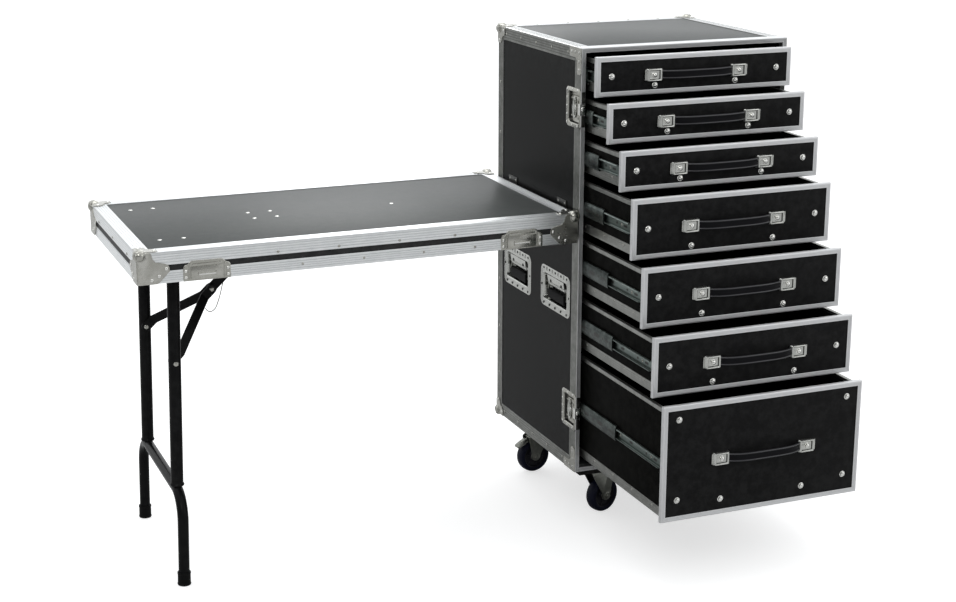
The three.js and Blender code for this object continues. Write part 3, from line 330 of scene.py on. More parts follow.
# one zinc in two copies: a lit one for the drawers' own slide members, and a darker one for the cabinet's and
# middle members, as painted shade near the cabinet
zincLit = finish("zincLit", brushed, (0.1, 0.127, 0.117), (0.18, 0.213, 0.198), (0.42, 0.46, 0.44),
    **slideLook, rough=(0.3, 0.42))
zinc = finish("zinc", brushed, (0.02, 0.027, 0.0245), (0.042, 0.052, 0.048), (0.2, 0.23, 0.215),
    **slideLook, rough=(0.24, 0.38))
nickel = finish("nickel", plated, (0.34, 0.337, 0.305), (0.4, 0.396, 0.36), (0.6, 0.595, 0.56),
    drive=(700.0, 16.0), edge=0.7, scuffs=0.12, rough=(0.22, 0.3))
# a lighter copy of the nickel for rivets, screws, bolts, the claw, the strike's lip and the caps' beads:
# painted highlights
nickelHighlight = finish("nickelHighlight", plated, (0.6, 0.6, 0.57), (0.74, 0.74, 0.71), (0.85, 0.85, 0.82),
    rough=(0.16, 0.26))
# a lighter copy of the nickel for the handle dishes, latch wings, the claw's nose, the brace rivets and the
# strap caps: painted light
nickelLit = finish("nickelLit", plated, (0.42, 0.425, 0.4), (0.5, 0.505, 0.48), (0.72, 0.72, 0.69),
    drive=(700.0, 20.0), edge=0.6, scuffs=0.12, rough=(0.2, 0.3))
# dark steel for the table hooks and the handle dishes' rivets; where it lines slots, the latch pans, the
# caps' cups and the openings beside the claws it is painted shade
darkSteelAndShade = finish("darkSteelAndShade", plated, (0.03, 0.03, 0.028), (0.06, 0.06, 0.056), (0.2, 0.2, 0.19),
    rough=(0.3, 0.45), bump=0.12)
# zinc for the casters and small fittings, its colour darkened in part as painted shade for the shadow the
# casters stand in
forkZinc = finish("forkZinc", plated, (0.13, 0.135, 0.118), (0.21, 0.215, 0.19), (0.42, 0.42, 0.39),
    drive=(600.0, 26.0), scuffs=0.2, rough=(0.26, 0.42), bump=0.12)
print("materials ready")


# mesh tools: everything is drawn in millimetres from the drawing's zero

def at(x, y, z):
    return Vector((x, y, z))


leftOut = at(-1, 0, 0)
frontOut = at(0, -1, 0)


def sweep(bm, rings, mat=0, closed=False, swap=False, grooveRows=(), grooveColumns=(), grooveMat=2):
    # skins a list of rings with quads, caps an open run, and lays u and v in metres over them
    uv = bm.loops.layers.uv.verify()
    rows = [[bm.verts.new(p) for p in ring] for ring in rings]
    count, total = len(rings[0]), len(rings)
    along, around = [0.0], [0.0]
    for i in range(total):
        along.append(along[-1] + (rings[(i + 1) % total][0] - rings[i][0]).length)
    for j in range(count):
        around.append(around[-1] + (rings[0][(j + 1) % count] - rings[0][j]).length)
    for i in range(total if closed else total - 1):
        for j in range(count):
            a, b = rows[i], rows[(i + 1) % total]
            face = bm.faces.new((a[j], a[(j + 1) % count], b[(j + 1) % count], b[j]))
            face.material_index = grooveMat if i in grooveRows or j in grooveColumns else mat
            spots = ((i, j), (i, j + 1), (i + 1, j + 1), (i + 1, j))
            for loop, (m, n) in zip(face.loops, spots):
                pair = (along[m] * mm, around[n] * mm)
                loop[uv].uv = pair[::-1] if swap else pair
    for row in () if closed else (rows[0], rows[-1]):
        face = bm.faces.new(row)
        face.material_index = mat
        for loop in face.loops:
            co = loop.vert.co
            loop[uv].uv = ((co.x + co.y) * mm, co.z * mm)


def addBox(bm, x0, x1, y0, y1, z0, z1, mat=0, bevel=0.5):
    made = bmesh.ops.create_cube(bm, size=1)["verts"]
    for v in made:
        v.co = at(x0 if v.co.x < 0 else x1, y0 if v.co.y < 0 else y1, z0 if v.co.z < 0 else z1)
    faces = list({f for v in made for f in v.link_faces})
    for f in faces:
        f.material_index = mat
    uv = bm.loops.layers.uv.verify()
    edges = list({e for v in made for e in v.link_edges})
    done = bmesh.ops.bevel(bm, geom=edges, offset=bevel, segments=2, profile=0.5, affect="EDGES")
    faces = list(set(done["faces"]) | {f for f in faces if f.is_valid})
    sizes = (x1 - x0, y1 - y0, z1 - z0)
    longest = sizes.index(max(sizes))
    for f in faces:
        for loop in f.loops:
            co = loop.vert.co
            rest = [co[k] for k in range(3) if k != longest]
            loop[uv].uv = (co[longest] * mm, (rest[0] + rest[1]) * mm)


def boxBetween(bm, a, b, mat, bevel):
    (x0, x1), (y0, y1), (z0, z1) = [sorted(pair) for pair in zip(a, b)]
    addBox(bm, x0, x1, y0, y1, z0, z1, mat, bevel)


def polar(degrees, radius=1.0):
    return radius * math.cos(math.radians(degrees)), radius * math.sin(math.radians(degrees))


def roundedRect(halfU, halfV, radius, steps=4):
    points = []
    for cu, cv, start in ((1, 1, 0), (-1, 1, 90), (-1, -1, 180), (1, -1, 270)):
        for k in range(steps + 1):
            u, v = polar(start + 90 * k / steps, radius)
            points.append((cu * (halfU - radius) + u, cv * (halfV - radius) + v))
    return points


def basis(outward):
    w = outward.normalized()
    u = (up if abs(w.z) < 0.9 else right).cross(w).normalized()
    return u, w.cross(u), w


def lathe(bm, centre, axis, profile, mat=0, count=24, closed=False):
    # profile is a list of (radius, height along the axis)
    u, v, w = basis(axis)
    rings = []
    for r, h in profile:
        turns = [polar(360 * k / count, max(r, 0.02)) for k in range(count)]
        rings.append([centre + w * h + u * a + v * b for a, b in turns])
    sweep(bm, rings, mat, closed=closed, swap=True)


def rivets(bm, spots, outward, mat=0, radius=4.0, height=1.5):
    profile = [(radius, -0.4), (radius, 0.15), (radius * 0.93, height * 0.45), (radius * 0.7, height * 0.8),
        (radius * 0.35, height * 0.97), (0, height)]
    for spot in spots:
        lathe(bm, at(*spot), outward, profile, mat, 12)


def screw(bm, spot, outward, mat=0, radius=7.0, height=4.4):
    # a dome head on a cupped washer, its middle pressed in
    profile = [(radius + 1.2, -0.3), (radius + 1.2, 0.4), (radius + 0.5, 0.9), (radius - 0.7, 0.9),
        (radius - 0.8, 1.5), (radius * 0.8, height * 0.72), (radius * 0.55, height * 0.93),
        (radius * 0.3, height), (0, height - 1.0)]
    lathe(bm, spot, outward, profile, mat, 20)


def rod(bm, a, b, radius, mat=0, count=16):
    ease = 0.6
    reach = (b - a).length
    profile = [(radius - ease, 0), (radius, ease), (radius, reach - ease), (radius - ease, reach)]
    lathe(bm, a, b - a, profile, mat, count)


def tube(bm, path, radius, mat=0, count=14):
    # a round section carried along a list of points
    rings = []
    side = None
    for i, p in enumerate(path):
        ahead = (path[min(i + 1, len(path) - 1)] - path[max(i - 1, 0)]).normalized()
        side = basis(ahead)[0] if side is None else (side - ahead * side.dot(ahead)).normalized()
        other = ahead.cross(side)
        turns = [polar(360 * k / count, radius) for k in range(count)]
        rings.append([p + side * a + other * b for a, b in turns])
    sweep(bm, rings, mat)


def grooved(a, b, inward, rows, width=2.8, depth=0.8):
    # a straight line in a section with grooves pressed in it; a third value of 1 marks their floors
    a, b, inward = Vector((*a, 0)), Vector((*b, 0)), Vector((*inward, 0))
    along = (b - a).normalized() * width
    floor = inward * depth + Vector((0, 0, 1))
    points = [a]
    for k in range(rows):
        mid = a.lerp(b, (k + 1) / (rows + 1))
        points += [mid - along * 0.5, mid - along * 0.3 + floor, mid + along * 0.3 + floor, mid + along * 0.5]
    return points + [b]


def grooveFloors(section):
    marked = [len(p) > 2 and p[2] > 0.5 for p in section]
    return {j for j in range(len(section)) if marked[j] and marked[(j + 1) % len(section)]}


def angleSection(legU, legV, rows=4, thick=1.5):
    # an aluminium angle with grooves in both faces and an eased corner
    points = [(legU, thick), (legU, 0.35), *grooved((legU - 0.35, 0), (1.6, 0), (0, 1), rows), (0.5, 0.5)]
    return points + [*grooved((0, 1.6), (0, legV - 0.35), (1, 0), rows), (0.35, legV), (thick, legV),
        (thick, thick)]


def frameRing(bm, section, low, high, place):
    # carries a section round a rectangle with mitred corners: a section point is (inset, depth)
    rings = []
    for point in section:
        inset, depth = point[0], point[1]
        a0, b0, a1, b1 = low[0] + inset, low[1] + inset, high[0] - inset, high[1] - inset
        rings.append([place(a0, b0, depth), place(a1, b0, depth), place(a1, b1, depth), place(a0, b1, depth)])
    sweep(bm, rings, closed=True, swap=True, grooveRows=grooveFloors(section))


def holedPlate(bm, us, vs, holes, place, w0, w1, edgeMat):
    # a flat plate with rectangular holes, faced with clean quads
    cutsU = sorted({*us, *(h[0] for h in holes), *(h[1] for h in holes)})
    cutsV = sorted({*vs, *(h[2] for h in holes), *(h[3] for h in holes)})
    made = {}

    def vert(i, j, k):
        if (i, j, k) not in made:
            made[(i, j, k)] = bm.verts.new(place(cutsU[i], cutsV[j], (w0, w1)[k]))
        return made[(i, j, k)]

    def solid(i, j):
        if not (0 <= i < len(cutsU) - 1 and 0 <= j < len(cutsV) - 1):
            return False
        u, v = (cutsU[i] + cutsU[i + 1]) / 2, (cutsV[j] + cutsV[j + 1]) / 2
        return not any(h[0] < u < h[1] and h[2] < v < h[3] for h in holes)

    uv = bm.loops.layers.uv.verify()
    cells = [(i, j) for i in range(len(cutsU) - 1) for j in range(len(cutsV) - 1) if solid(i, j)]
    for i, j in cells:
        faces = [[vert(i, j, k), vert(i + 1, j, k), vert(i + 1, j + 1, k), vert(i, j + 1, k)] for k in (0, 1)]
        sides = (((i - 1, j), (i, j), (i, j + 1)), ((i + 1, j), (i + 1, j), (i + 1, j + 1)),
            ((i, j - 1), (i, j), (i + 1, j)), ((i, j + 1), (i, j + 1), (i + 1, j + 1)))
        for beside, p, q in sides:
            if not solid(*beside):
                faces.append([vert(*p, 0), vert(*q, 0), vert(*q, 1), vert(*p, 1)])
        for n, corners in enumerate(faces):
            face = bm.faces.new(corners)
            face.material_index = 0 if n < 2 else edgeMat
            for loop in face.loops:
                co = loop.vert.co
                loop[uv].uv = ((co.y if abs(co.y) > 1e-6 else co.x) * mm, (co.z + co.x) * mm)


def flatPlate(bm, outline, place, thick, mat=0, ease=0.4):
    # a sheet cut to an outline, its front edge eased
    cu = sum(p[0] for p in outline) / len(outline)
    cv = sum(p[1] for p in outline) / len(outline)
    small = []
    for u, v in outline:
        reach = math.hypot(u - cu, v - cv)
        small.append((u - (u - cu) / reach * ease, v - (v - cv) / reach * ease))
    steps = ((outline, 0), (outline, thick - ease), (small, thick))
    sweep(bm, [[place(u, v, h) for u, v in edge] for edge, h in steps], mat)


def padded(bm, place, steps, corner=4, mat=0, grooveRows=()):
    # a pad with rounded corners: steps run up from its foot as (halfU, halfV, radius, height)
    rings = [[place(u, v, h) for u, v in roundedRect(a, b, r, corner)] for a, b, r, h in steps]
    sweep(bm, rings, mat, grooveRows=grooveRows)


def addPiece(name, build, finishes, body, slot, stands=(), mirror=False, duller=False, pull=0.0):
    bm = bmesh.new()
    build(bm)
    for v in bm.verts:
        v.co.y -= pull
        if mirror:
            v.co.x = case["width"] - v.co.x
    bmesh.ops.recalc_face_normals(bm, faces=bm.faces)
    if duller:
        # faces of the edging that look sideways take the darker copies held in the last two materials:
        # painted shade on the cabinet's sides
        for f in bm.faces:
            if abs(f.normal.x) > 0.5 and f.material_index in (0, 2):
                f.material_index = 3 + f.material_index // 2
    for v in bm.verts:
        v.co = v.co * mm + drawnZero
    mesh = bpy.data.meshes.new(name)
    bm.to_mesh(mesh)
    bm.free()
    for item in finishes:
        mesh.materials.append(item)
    mesh.shade_smooth()
    mesh.set_sharp_from_angle(angle=math.radians(34))
    obj = bpy.data.objects.new(name, mesh)
    bpy.context.collection.objects.link(obj)
    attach(obj, body)
    if stands:
        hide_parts(*stands)


def addPair(name, build, finishes, body, slot, stands=None, **settings):
    # the same piece on the left and, mirrored, on the right
    for side in ("left", "right"):
        replaced = (stands.format(side=side),) if stands else ()
        addPiece(f"{name}_{side}", build, finishes, body.format(side=side), slot, replaced,
            mirror=side == "right", **settings)


# cabinet: boards held in aluminium edging, standing on a base board and casters
case = {
    "width": 610.0, "depth": 550.0, "bottom": 168.0, "top": 1328.0, "skin": 1.5, "inner": 11.0, "clear": 1.6,
    "latchZ": (1169.0, 337.0), "handleY": (146.0, 404.0), "handleZ": 647.06,
}
low, high, wide, deep = case["bottom"], case["top"], case["width"], case["depth"]
skin, inner, clear = case["skin"], case["inner"], case["clear"]
cutouts = {"latchY": (13.6, 78.4), "latchHalf": 40.4, "handle": (75.4, 36.4)}
panels = {
    "top_panel": (laminate, (inner, wide - inner), (clear, deep - clear), (high - inner, high - skin)),
    "bottom_panel": (laminate, (inner, wide - inner), (clear, deep - inner), (low + skin, low + inner)),
    "back_panel": (laminateSideShade, (inner, wide - inner), (deep - inner, deep - skin),
        (low + inner, high - inner)),
}


def sidePlace(u, v, w):
    # u back from the front plane, v up, w out of the left board's face
    return at(skin - w, u, v)


def buildSidePanel(bm):
    half = cutouts["latchHalf"]
    holes = [(*cutouts["latchY"], z - half, z + half) for z in case["latchZ"]]
    halfU, halfV = cutouts["handle"]
    z = case["handleZ"]
    holes += [(y - halfU, y + halfU, z - halfV, z + halfV) for y in case["handleY"]]
    holedPlate(bm, (clear, deep - clear), (low + clear, high - clear), holes, sidePlace, 0, skin - inner, 1)


addPair("side_panel", buildSidePanel, [laminateSideShade, boardEdge], "cabinet", "laminate", "cabinet_carcass")
for name, (look, xs, ys, zs) in panels.items():
    addPiece(name, lambda bm: addBox(bm, *xs, *ys, *zs, 0, 0.2), [look], "cabinet", "laminate")

# front frame: ribbed face, tongue groove, and the return that lines the opening
edging = [aluminium, nickel, grooveShade, aluminiumSideShade, grooveSideShade]
frameSection = [(1.5, 1.5), (0, 1.5), (0, 0.7), (0.7, 0), *grooved((1.2, 0), (11.6, 0), (0, 1), 2, 2.6, 1.0),
    (12.5, 0.8), (12.5, 20), (11.1, 20), (11.1, 1.5)]
flange = {"width": 38.5, "rows": 4, "latchGap": 52.2}


def buildFrameFace(bm):
    frameRing(bm, frameSection, (0, low), (wide, high), lambda a, b, d: at(a, d, b))


def ribbedStrip(bm, place, length):
    # a flat ribbed strip: place(u across, w out, v along)
    width = flange["width"]
    section = [(0, 0), (0, 1.2), *grooved((0.35, skin), (width - 0.35, skin), (0, -1), flange["rows"]),
        (width, 1.2), (width, 0)]
    rings = [[place(p[0], p[1], v) for p in section] for v in (0, length)]
    sweep(bm, rings, grooveColumns=grooveFloors(section))


def buildFrameFlange(bm):
    edges = [low]
    for z in sorted(case["latchZ"]):
        edges += [z - flange["latchGap"], z + flange["latchGap"]]
    edges.append(high)
    for z0, z1 in zip(edges[::2], edges[1::2]):
        ribbedStrip(bm, lambda u, w, v: at(skin - w, skin + u, z0 + v), z1 - z0)


def buildFrameBands(bm):
    for z, out in ((high, 1), (low, -1)):
        ribbedStrip(bm, lambda u, w, v: at(skin + v, skin + u, z + out * (w - skin)), wide - 2 * skin)


addPiece("front_frame_face", buildFrameFace, [frameAluminium, nickel, frameGroove], "cabinet", "aluminium",
    ("front_frame",))
addPair("front_frame_flange", buildFrameFlange, edging, "cabinet", "aluminium", duller=True)
addPiece("front_frame_bands", buildFrameBands, [aluminium, nickel, grooveShade], "cabinet", "aluminium")

# side and rear edging, riveted along the middle of each flange
bar = {"leg": 36, "rivetIn": 18, "sideRivets": (84, 186, 288, 390, 492), "rearZ": range(300, 1300, 145),
    "rearX": range(112, 560, 97)}
barSection = angleSection(bar["leg"], bar["leg"])
edgeRivet = (1, 3.6, 1.3)  # finish, radius and height


def buildSideBars(bm):
    inset = bar["rivetIn"]
    ends = (40.1, deep - bar["leg"] - 0.1)
    for z, way in ((high, -1), (low, 1)):
        sweep(bm, [[at(p[0], y, z + way * p[1]) for p in barSection] for y in ends],
            grooveColumns=grooveFloors(barSection))
        rivets(bm, [(0, y, z + way * inset) for y in bar["sideRivets"]], leftOut, *edgeRivet)


def buildRearEdging(bm):
    frameRing(bm, barSection, (0, low), (wide, high), lambda a, b, d: at(a, deep - d, b))
    inset = bar["rivetIn"]
    for x, out in ((0, leftOut), (wide, right)):
        rivets(bm, [(x, deep - inset, z) for z in bar["rearZ"]], out, *edgeRivet)
    spots = [(x, deep, z) for x in (inset, wide - inset) for z in bar["rearZ"]]
    spots += [(x, deep, z) for x in bar["rearX"] for z in (high - inset, low + inset)]
    rivets(bm, spots, back, *edgeRivet)
    rivets(bm, [(x, deep - inset, high) for x in bar["rearX"]], up, *edgeRivet)


addPair("side_edging", buildSideBars, edging, "cabinet", "aluminium", "cabinet_edging", duller=True)
addPiece("rear_edging", buildRearEdging, edging, "cabinet", "aluminium", duller=True)

# corners
corner = {"thick": 2.0, "ball": 16.0, "ballIn": 8.0, "beadIn": 2.0}


def clippedLeg(reach, width):
    # outline of a small corner's plate: two rounded tongues that follow the edges
    return [(0, 0), (reach - 5, 0), (reach, 5), (reach, width - 8), (reach - 8, width),
        (width + 7, width + 1), (width + 1, width + 7), (width, reach - 8), (width - 8, reach), (5, reach),
        (0, reach - 5)]


def addCorner(bm, tip, dirs, legs):
    # three pressed plates that meet at a ball; dirs point from the tip along the object's edges
    a, b, c = dirs
    thick, ball = corner["thick"], corner["ball"]
    for u, v, n, (outline, spots) in ((a, b, c, legs[0]), (a, c, b, legs[1]), (b, c, a, legs[2])):
        flatPlate(bm, outline, lambda p, q, h: tip + u * p + v * q - n * h, thick, 0, 0.5)
        rivets(bm, [tip + u * p + v * q - n * thick for p, q in spots], -n, 1, 4.4, 1.9)
    centre = tip + (a + b + c) * corner["ballIn"]
    lathe(bm, centre, -(a + b + c), [polar(t, ball)[::-1] for t in range(178, -1, -12)])
    # a pressed bead where each plate runs into the ball
    level = corner["ballIn"] + corner["beadIn"]
    reach = math.sqrt(ball ** 2 - level ** 2)
    bead = [(reach - 1.4, level - 0.4), (reach + 2.0, level - 0.4), (reach + 1.8, level + 0.5),
        (reach + 0.6, level + 1.3), (reach - 1.2, level + 1.2)]
    for d in dirs:
        lathe(bm, centre, -d, bead, 0, 28, closed=True)


def buildBackCorners(bm):
    leg = (clippedLeg(48, 27), [(40, 11), (11, 40)])
    for z, way in ((high, -1), (low, 1)):
        addCorner(bm, at(0, deep, z), (right, -back, up * way), (leg, leg, leg))


def buildFrontBraces(bm):
    # flat pressed L plates at the front corners of the sides
    thick = corner["thick"]
    outline = [(1.5, 0), (66, 0), (70, 4), (70, 22), (66, 26), (34, 26), (26, 34), (26, 66), (22, 70),
        (5.5, 70), (1.5, 66)]
    spots = ((13, 57), (13, 36), (57, 13), (36, 13), (13, 13))
    for z, way in ((high, -1), (low, 1)):
        flatPlate(bm, outline, lambda p, q, h: at(-h, p, z + way * q), thick, 0, 0.6)
        rivets(bm, [(-thick, p, z + way * q) for p, q in spots], leftOut, 1, 4.0, 1.6)


addPair("ball_corner_back", buildBackCorners, [nickel, nickelHighlight], "cabinet", "nickel")
addPair("front_corner_brace", buildFrontBraces, [nickel, nickelLit], "cabinet", "nickel")

# recessed butterfly latches: dish steps run from the pan's floor out to the rim
latch = {
    "plateY": (1.8, 92.0), "mid": 46, "panEdge": 37.6, "sheet": 0.8, "rivetX": 0.3,
    "wing": ((0.5, 3.0), (0.78, 2.9), (0.9, 1.9), (0.97, 1.6), (1.0, 2.2), (0.98, 3.7), (0.9, 4.0),
        (0.4, 4.0)),
}
latchHalf = (latch["plateY"][1] - latch["plateY"][0]) / 2
latchSteps = [(29, 37, 5, -8.2), (30.4, 38.4, 6.4, -7.6), (31, 39, 7, -6.4), (32, 40, 8, -0.6),
    (33, 41, 9, 0.9), (34.6, 42.6, 10, 1.9), (36.4, 44.4, 11, 1.9), (37.6, 45.6, 12, 1.2),
    (latchHalf - 0.6, 51.4, 12, 1.2), (latchHalf, 52, 12.5, 0.8)]


def buildLatchDish(bm):
    plateMid = sum(latch["plateY"]) / 2
    edge = latch["panEdge"]
    for z in case["latchZ"]:
        rings = []
        for sunk, steps in ((0, latchSteps), (latch["sheet"], latchSteps[::-1])):
            for a, b, r, h in steps:
                # the pan's middle lies in front of the plate's
                part = min(1.0, max(0.0, (a - edge) / (latchHalf - edge)))
                y = plateMid + (latch["mid"] - plateMid) * (1 - part)
                rings.append([sidePlace(y + u, z + v, h - sunk) for u, v in roundedRect(a, b, r)])
        # the walls of the pan, rows 1 and 2, take the third material as painted shade in the recess
        sweep(bm, rings, grooveRows={1, 2})
        spots = [(latch["rivetX"], 86, z + v * 0.92) for v in (-47, -24, 0, 24, 47)]
        spots += [(latch["rivetX"], y, z + v) for y in (24, 55) for v in (-47, 47)]
        rivets(bm, spots, leftOut, 1, 3.4, 1.3)
        # base of the mechanism, its two guides, and the slide that carries the claw
        addBox(bm, 6.4, 9.2, 22, 72, z - 30, z + 30, 0, 0.8)
        for v in (-23, 23):
            addBox(bm, 4.9, 6.6, 18, 70, z + v - 3.5, z + v + 3.5, 0, 0.6)
        rivets(bm, [(4.9, y, z + v) for v in (-23, 23) for y in (27, 65)], leftOut, 0, 2.6, 1.2)
        addBox(bm, 5.4, 7.0, 12, 36, z - 15, z + 15, 0, 0.5)
        rod(bm, at(5.2, 30, z - 20), at(5.2, 30, z + 20), 2.2, 0, 12)


def buildClaw(bm):
    profile = [(13.0, 0.3), (13.0, -2.2), (2.6, -2.2), (1.5, -1.2), (1.5, 0.3)]
    for z in case["latchZ"]:
        sweep(bm, [[at(x, y, z + v) for y, x in profile] for v in (-15, -14.2, 14.2, 15)])
        addBox(bm, -2.4, -1.6, 3.0, 11.5, z - 9, z + 9, 0, 0.35)


def buildThroat(bm):
    # dark plates above and below the claw's nose paint the shade of openings in the front frame; the nose
    # bends round the edge
    for z in case["latchZ"]:
        for v in (-31, 31):
            addBox(bm, 0.8, 11.6, -0.5, 0.6, z + v - 15, z + v + 15, 0, 0.3)
        addBox(bm, -2.4, 11.2, -2.0, 0.4, z - 14.5, z + 14.5, 1, 0.9)
        addBox(bm, -2.4, 0.4, -2.0, 3.0, z - 14.5, z + 14.5, 1, 0.9)
        dome = [(6.0, 0), (6.0, 0.9), (5.0, 1.8), (2.4, 2.3), (0, 2.4)]
        lathe(bm, at(4.6, -1.9, z + 2), frontOut, dome, 2, 16)


def buildWing(bm, z):
    # a two-lobed turn handle on a domed boss
    rings = []
    for scale, x in latch["wing"]:
        ring = []
        for k in range(36):
            c, s = polar(10 * k)
            reach = 12.5 + 16.5 * abs(s) ** 1.5
            ring.append(at(x, latch["mid"] + c * min(reach, 13.2) * scale, z + s * reach * scale))
        rings.append(ring)
    sweep(bm, rings)
    boss = [(9, 0), (9, 6.4), (8.6, 7.0), (6.6, 7.6), (3.4, 7.9), (0, 8.0)]
    lathe(bm, at(9.3, latch["mid"], z), leftOut, boss)
    addBox(bm, 0.9, 3.0, 44.6, 47.4, z - 20, z + 20, 0, 0.6)


addPair("latch_dish", buildLatchDish, [nickel, nickelHighlight, darkSteelAndShade], "cabinet", "nickel")
addPair("latch_claw", buildClaw, [nickelHighlight], "cabinet", "nickel")
addPair("latch_throat", buildThroat, [darkSteelAndShade, nickelLit, nickelHighlight], "cabinet", "nickel")
for z, where in zip(case["latchZ"], ("upper", "lower")):
    node = f"latch_wing_{{side}}_{where}"
    addPair(f"latch_wing_{where}", lambda bm: buildWing(bm, z), [nickelLit], node, "nickel", node)

# recessed handles: the grip hangs in front of the pan's floor, on two arms that turn in its ends
handle = {
    "sheet": 0.8, "plateRivets": (-74, -37, 0, 37, 74), "rivetUp": 50, "rivetX": 0.3,
    "slots": (-55, -18, 18, 55), "gripDown": 17.5, "gripX": 9.5, "gripHalf": 54, "gripRings": 60,
    "ribDip": 0.0175,
}
handleSteps = [(70, 31, 5, -16.4), (72.4, 33.4, 7, -15.6), (73.4, 34.4, 8, -13.6), (74.6, 35.6, 9, -1.0),
    (75.8, 36.8, 10, 1.0), (77.6, 38.6, 11.5, 2.1), (79.6, 40.6, 13, 2.1), (81, 42, 14, 1.2),
    (94.2, 57.2, 17.4, 1.2), (95, 58, 18, 0.7)]


def buildHandleDish(bm, y):
    z = case["handleZ"]
    behind = [(a, b, r, h - handle["sheet"]) for a, b, r, h in handleSteps[::-1]]
    padded(bm, lambda u, v, h: sidePlace(y + u, z + v, h), handleSteps + behind, 5)
    x = handle["rivetX"]
    spots = [(x, y + u, z + s * handle["rivetUp"]) for u in handle["plateRivets"] for s in (-1, 1)]
    rivets(bm, spots, leftOut, 1, 3.8, 1.5)
    rivets(bm, [(x, y + u, z) for u in (-88, 88)], leftOut, 1, 3.4, 1.4)
    for u in handle["slots"]:
        # upright slots between the rivets, each with a raised lip round a dark plate of painted shade for its
        # opening
        addBox(bm, -0.5, 0.6, y + u - 2.6, y + u + 2.6, z + 44, z + 56, 0, 0.5)
        addBox(bm, -0.9, 0.4, y + u - 1.5, y + u + 1.5, z + 45.2, z + 54.8, 1, 0.3)
    # folded cover over the hinge, in the top of the pan
    fold = [(34.5, 0.2), (30, 0.6), (19, -1.2), (9, -3.6), (3.4, -6.4), (2.6, -7.6), (3.4, -8.4), (9, -5.2),
        (19, -2.8), (30, -1.0), (34.5, -1.2)]
    sweep(bm, [[sidePlace(y + u, z + v, w) for v, w in fold] for u in (-52, -51, 51, 52)])
    rivets(bm, [(2.4, y + u, z + 20) for u in (-34, 34)], at(-1, 0, -0.15), 1, 4.4, 1.8)
    for v in (13, 27):
        # pressed creases along the cover
        addBox(bm, 1.0, 2.6, y - 46, y + 46, z + v - 0.9, z + v + 0.9, 0, 0.6)
    for u in (-73.4, 73.4):
        addBox(bm, 2.6, 17.2, y + u - 1.4, y + u + 1.4, z - 2, z + 26, 0, 0.8)


def buildGrip(bm, y):
    x, z = handle["gripX"], case["handleZ"] - handle["gripDown"]
    half, count = handle["gripHalf"], handle["gripRings"]
    section = roundedRect(14.5, 7.6, 6.2, 5)
    rings = []
    for k in range(count + 1):
        # rounded off at the ends, with a rib between every four rings
        w = half * (2 * k / count - 1)
        edge = min(1.0, (half - abs(w)) / 4 + 0.45)
        dip = handle["ribDip"] if k % 4 == 0 and 6 < k < count - 6 else 0.0
        rings.append([at(x - a * (edge - dip), y + w, z + b * (edge - dip * 2)) for b, a in section])
    sweep(bm, rings)
    for s in (-1, 1):
        arm = ((53, 0), (57, 0.5), (58.6, 4), (58.8, 16), (59.4, 25), (62, 29.5), (73.4, 29.5))
        tube(bm, [at(x, y + s * u, z + v) for u, v in arm], 3.0, 1, 12)


for y, where in zip(case["handleY"], ("front", "rear")):
    node = f"handle_dish_{{side}}_{where}"
    addPair(f"handle_dish_{where}", lambda bm: buildHandleDish(bm, y), [nickelLit, darkSteelAndShade],
        "cabinet", "nickel", node)
    node = f"handle_grip_{{side}}_{where}"
    addPair(f"handle_grip_{where}", lambda bm: buildGrip(bm, y), [rubber, forkZinc], node, "rubber", node)

# hooks that carry the table: a bent plate, its profile drawn as (height, x)
hook = {"y": (111.0, 439.0), "half": 29.0, "rivetZ": 904}
hookProfile = [(912, 1.5), (912.4, 1.1), (912.4, 0.0), (911.8, -0.5), (848, -0.5), (846, -2.4), (846, -3.0),
    (848, -4.5), (875.4, -4.5), (876, -5.0), (876, -6.0), (875.4, -6.5), (847, -6.5), (844, -3.5), (844, 1.5)]


def buildHook(bm, y):
    half = hook["half"]
    sweep(bm, [[at(x, y + u, z) for z, x in hookProfile] for u in (-half, 0.6 - half, half - 0.6, half)])
    rivets(bm, [(-0.5, y + u, hook["rivetZ"]) for u in (-20, 20)], leftOut, 1, 3.4, 0.7)


for y, where in zip(hook["y"], ("front", "rear")):
    addPiece(f"table_hook_{where}", lambda bm: buildHook(bm, y), [darkSteelAndShade, nickel], "cabinet", "nickel",
        (f"table_hook_{where}",))

# base board and caster plates; a caster is given by x, y, its turn in degrees and whether it has a brake
base = {"inset": 28, "bottom": 144, "plateBottom": 141, "boltOut": 37}
casters = {
    "front_left": (106.0, 90.0, 18.0, True), "back_left": (106.0, 460.0, 187.0, True),
    "front_right": (504.0, 90.0, 18.0, False), "back_right": (504.0, 460.0, 187.0, False),
}


def buildBaseBoard(bm):
    inset = base["inset"]
    addBox(bm, inset, wide - inset, inset, deep - inset, base["bottom"], low, 0, 1.2)


def buildCasterPlate(bm, x, y):
    steps = ((46, 46, 9, 144.2), (48, 48, 9, 143.6), (48, 48, 9, 141.6), (46.6, 46.6, 9, base["plateBottom"]))
    padded(bm, lambda u, v, h: at(x + u, y + v, h), steps)
    bolt = [(7.5, -0.2), (7.5, 1.2), (6.8, 1.4), (6.2, 1.4), (6.2, 5.0), (5.4, 5.6), (0, 5.6)]
    out = base["boltOut"]
    for u, v in ((-out, -out), (-out, out), (out, -out), (out, out)):
        lathe(bm, at(x + u, y + v, base["plateBottom"]), -up, bolt, 0, 6)


addPiece("base_board", buildBaseBoard, [boardEdge], "cabinet", "laminate", ("base_board",))
for where, (x, y, turn, brake) in casters.items():
    addPiece(f"caster_plate_{where}", lambda bm: buildCasterPlate(bm, x, y), [forkZinc], "cabinet", "zinc")
print("cabinet ready")


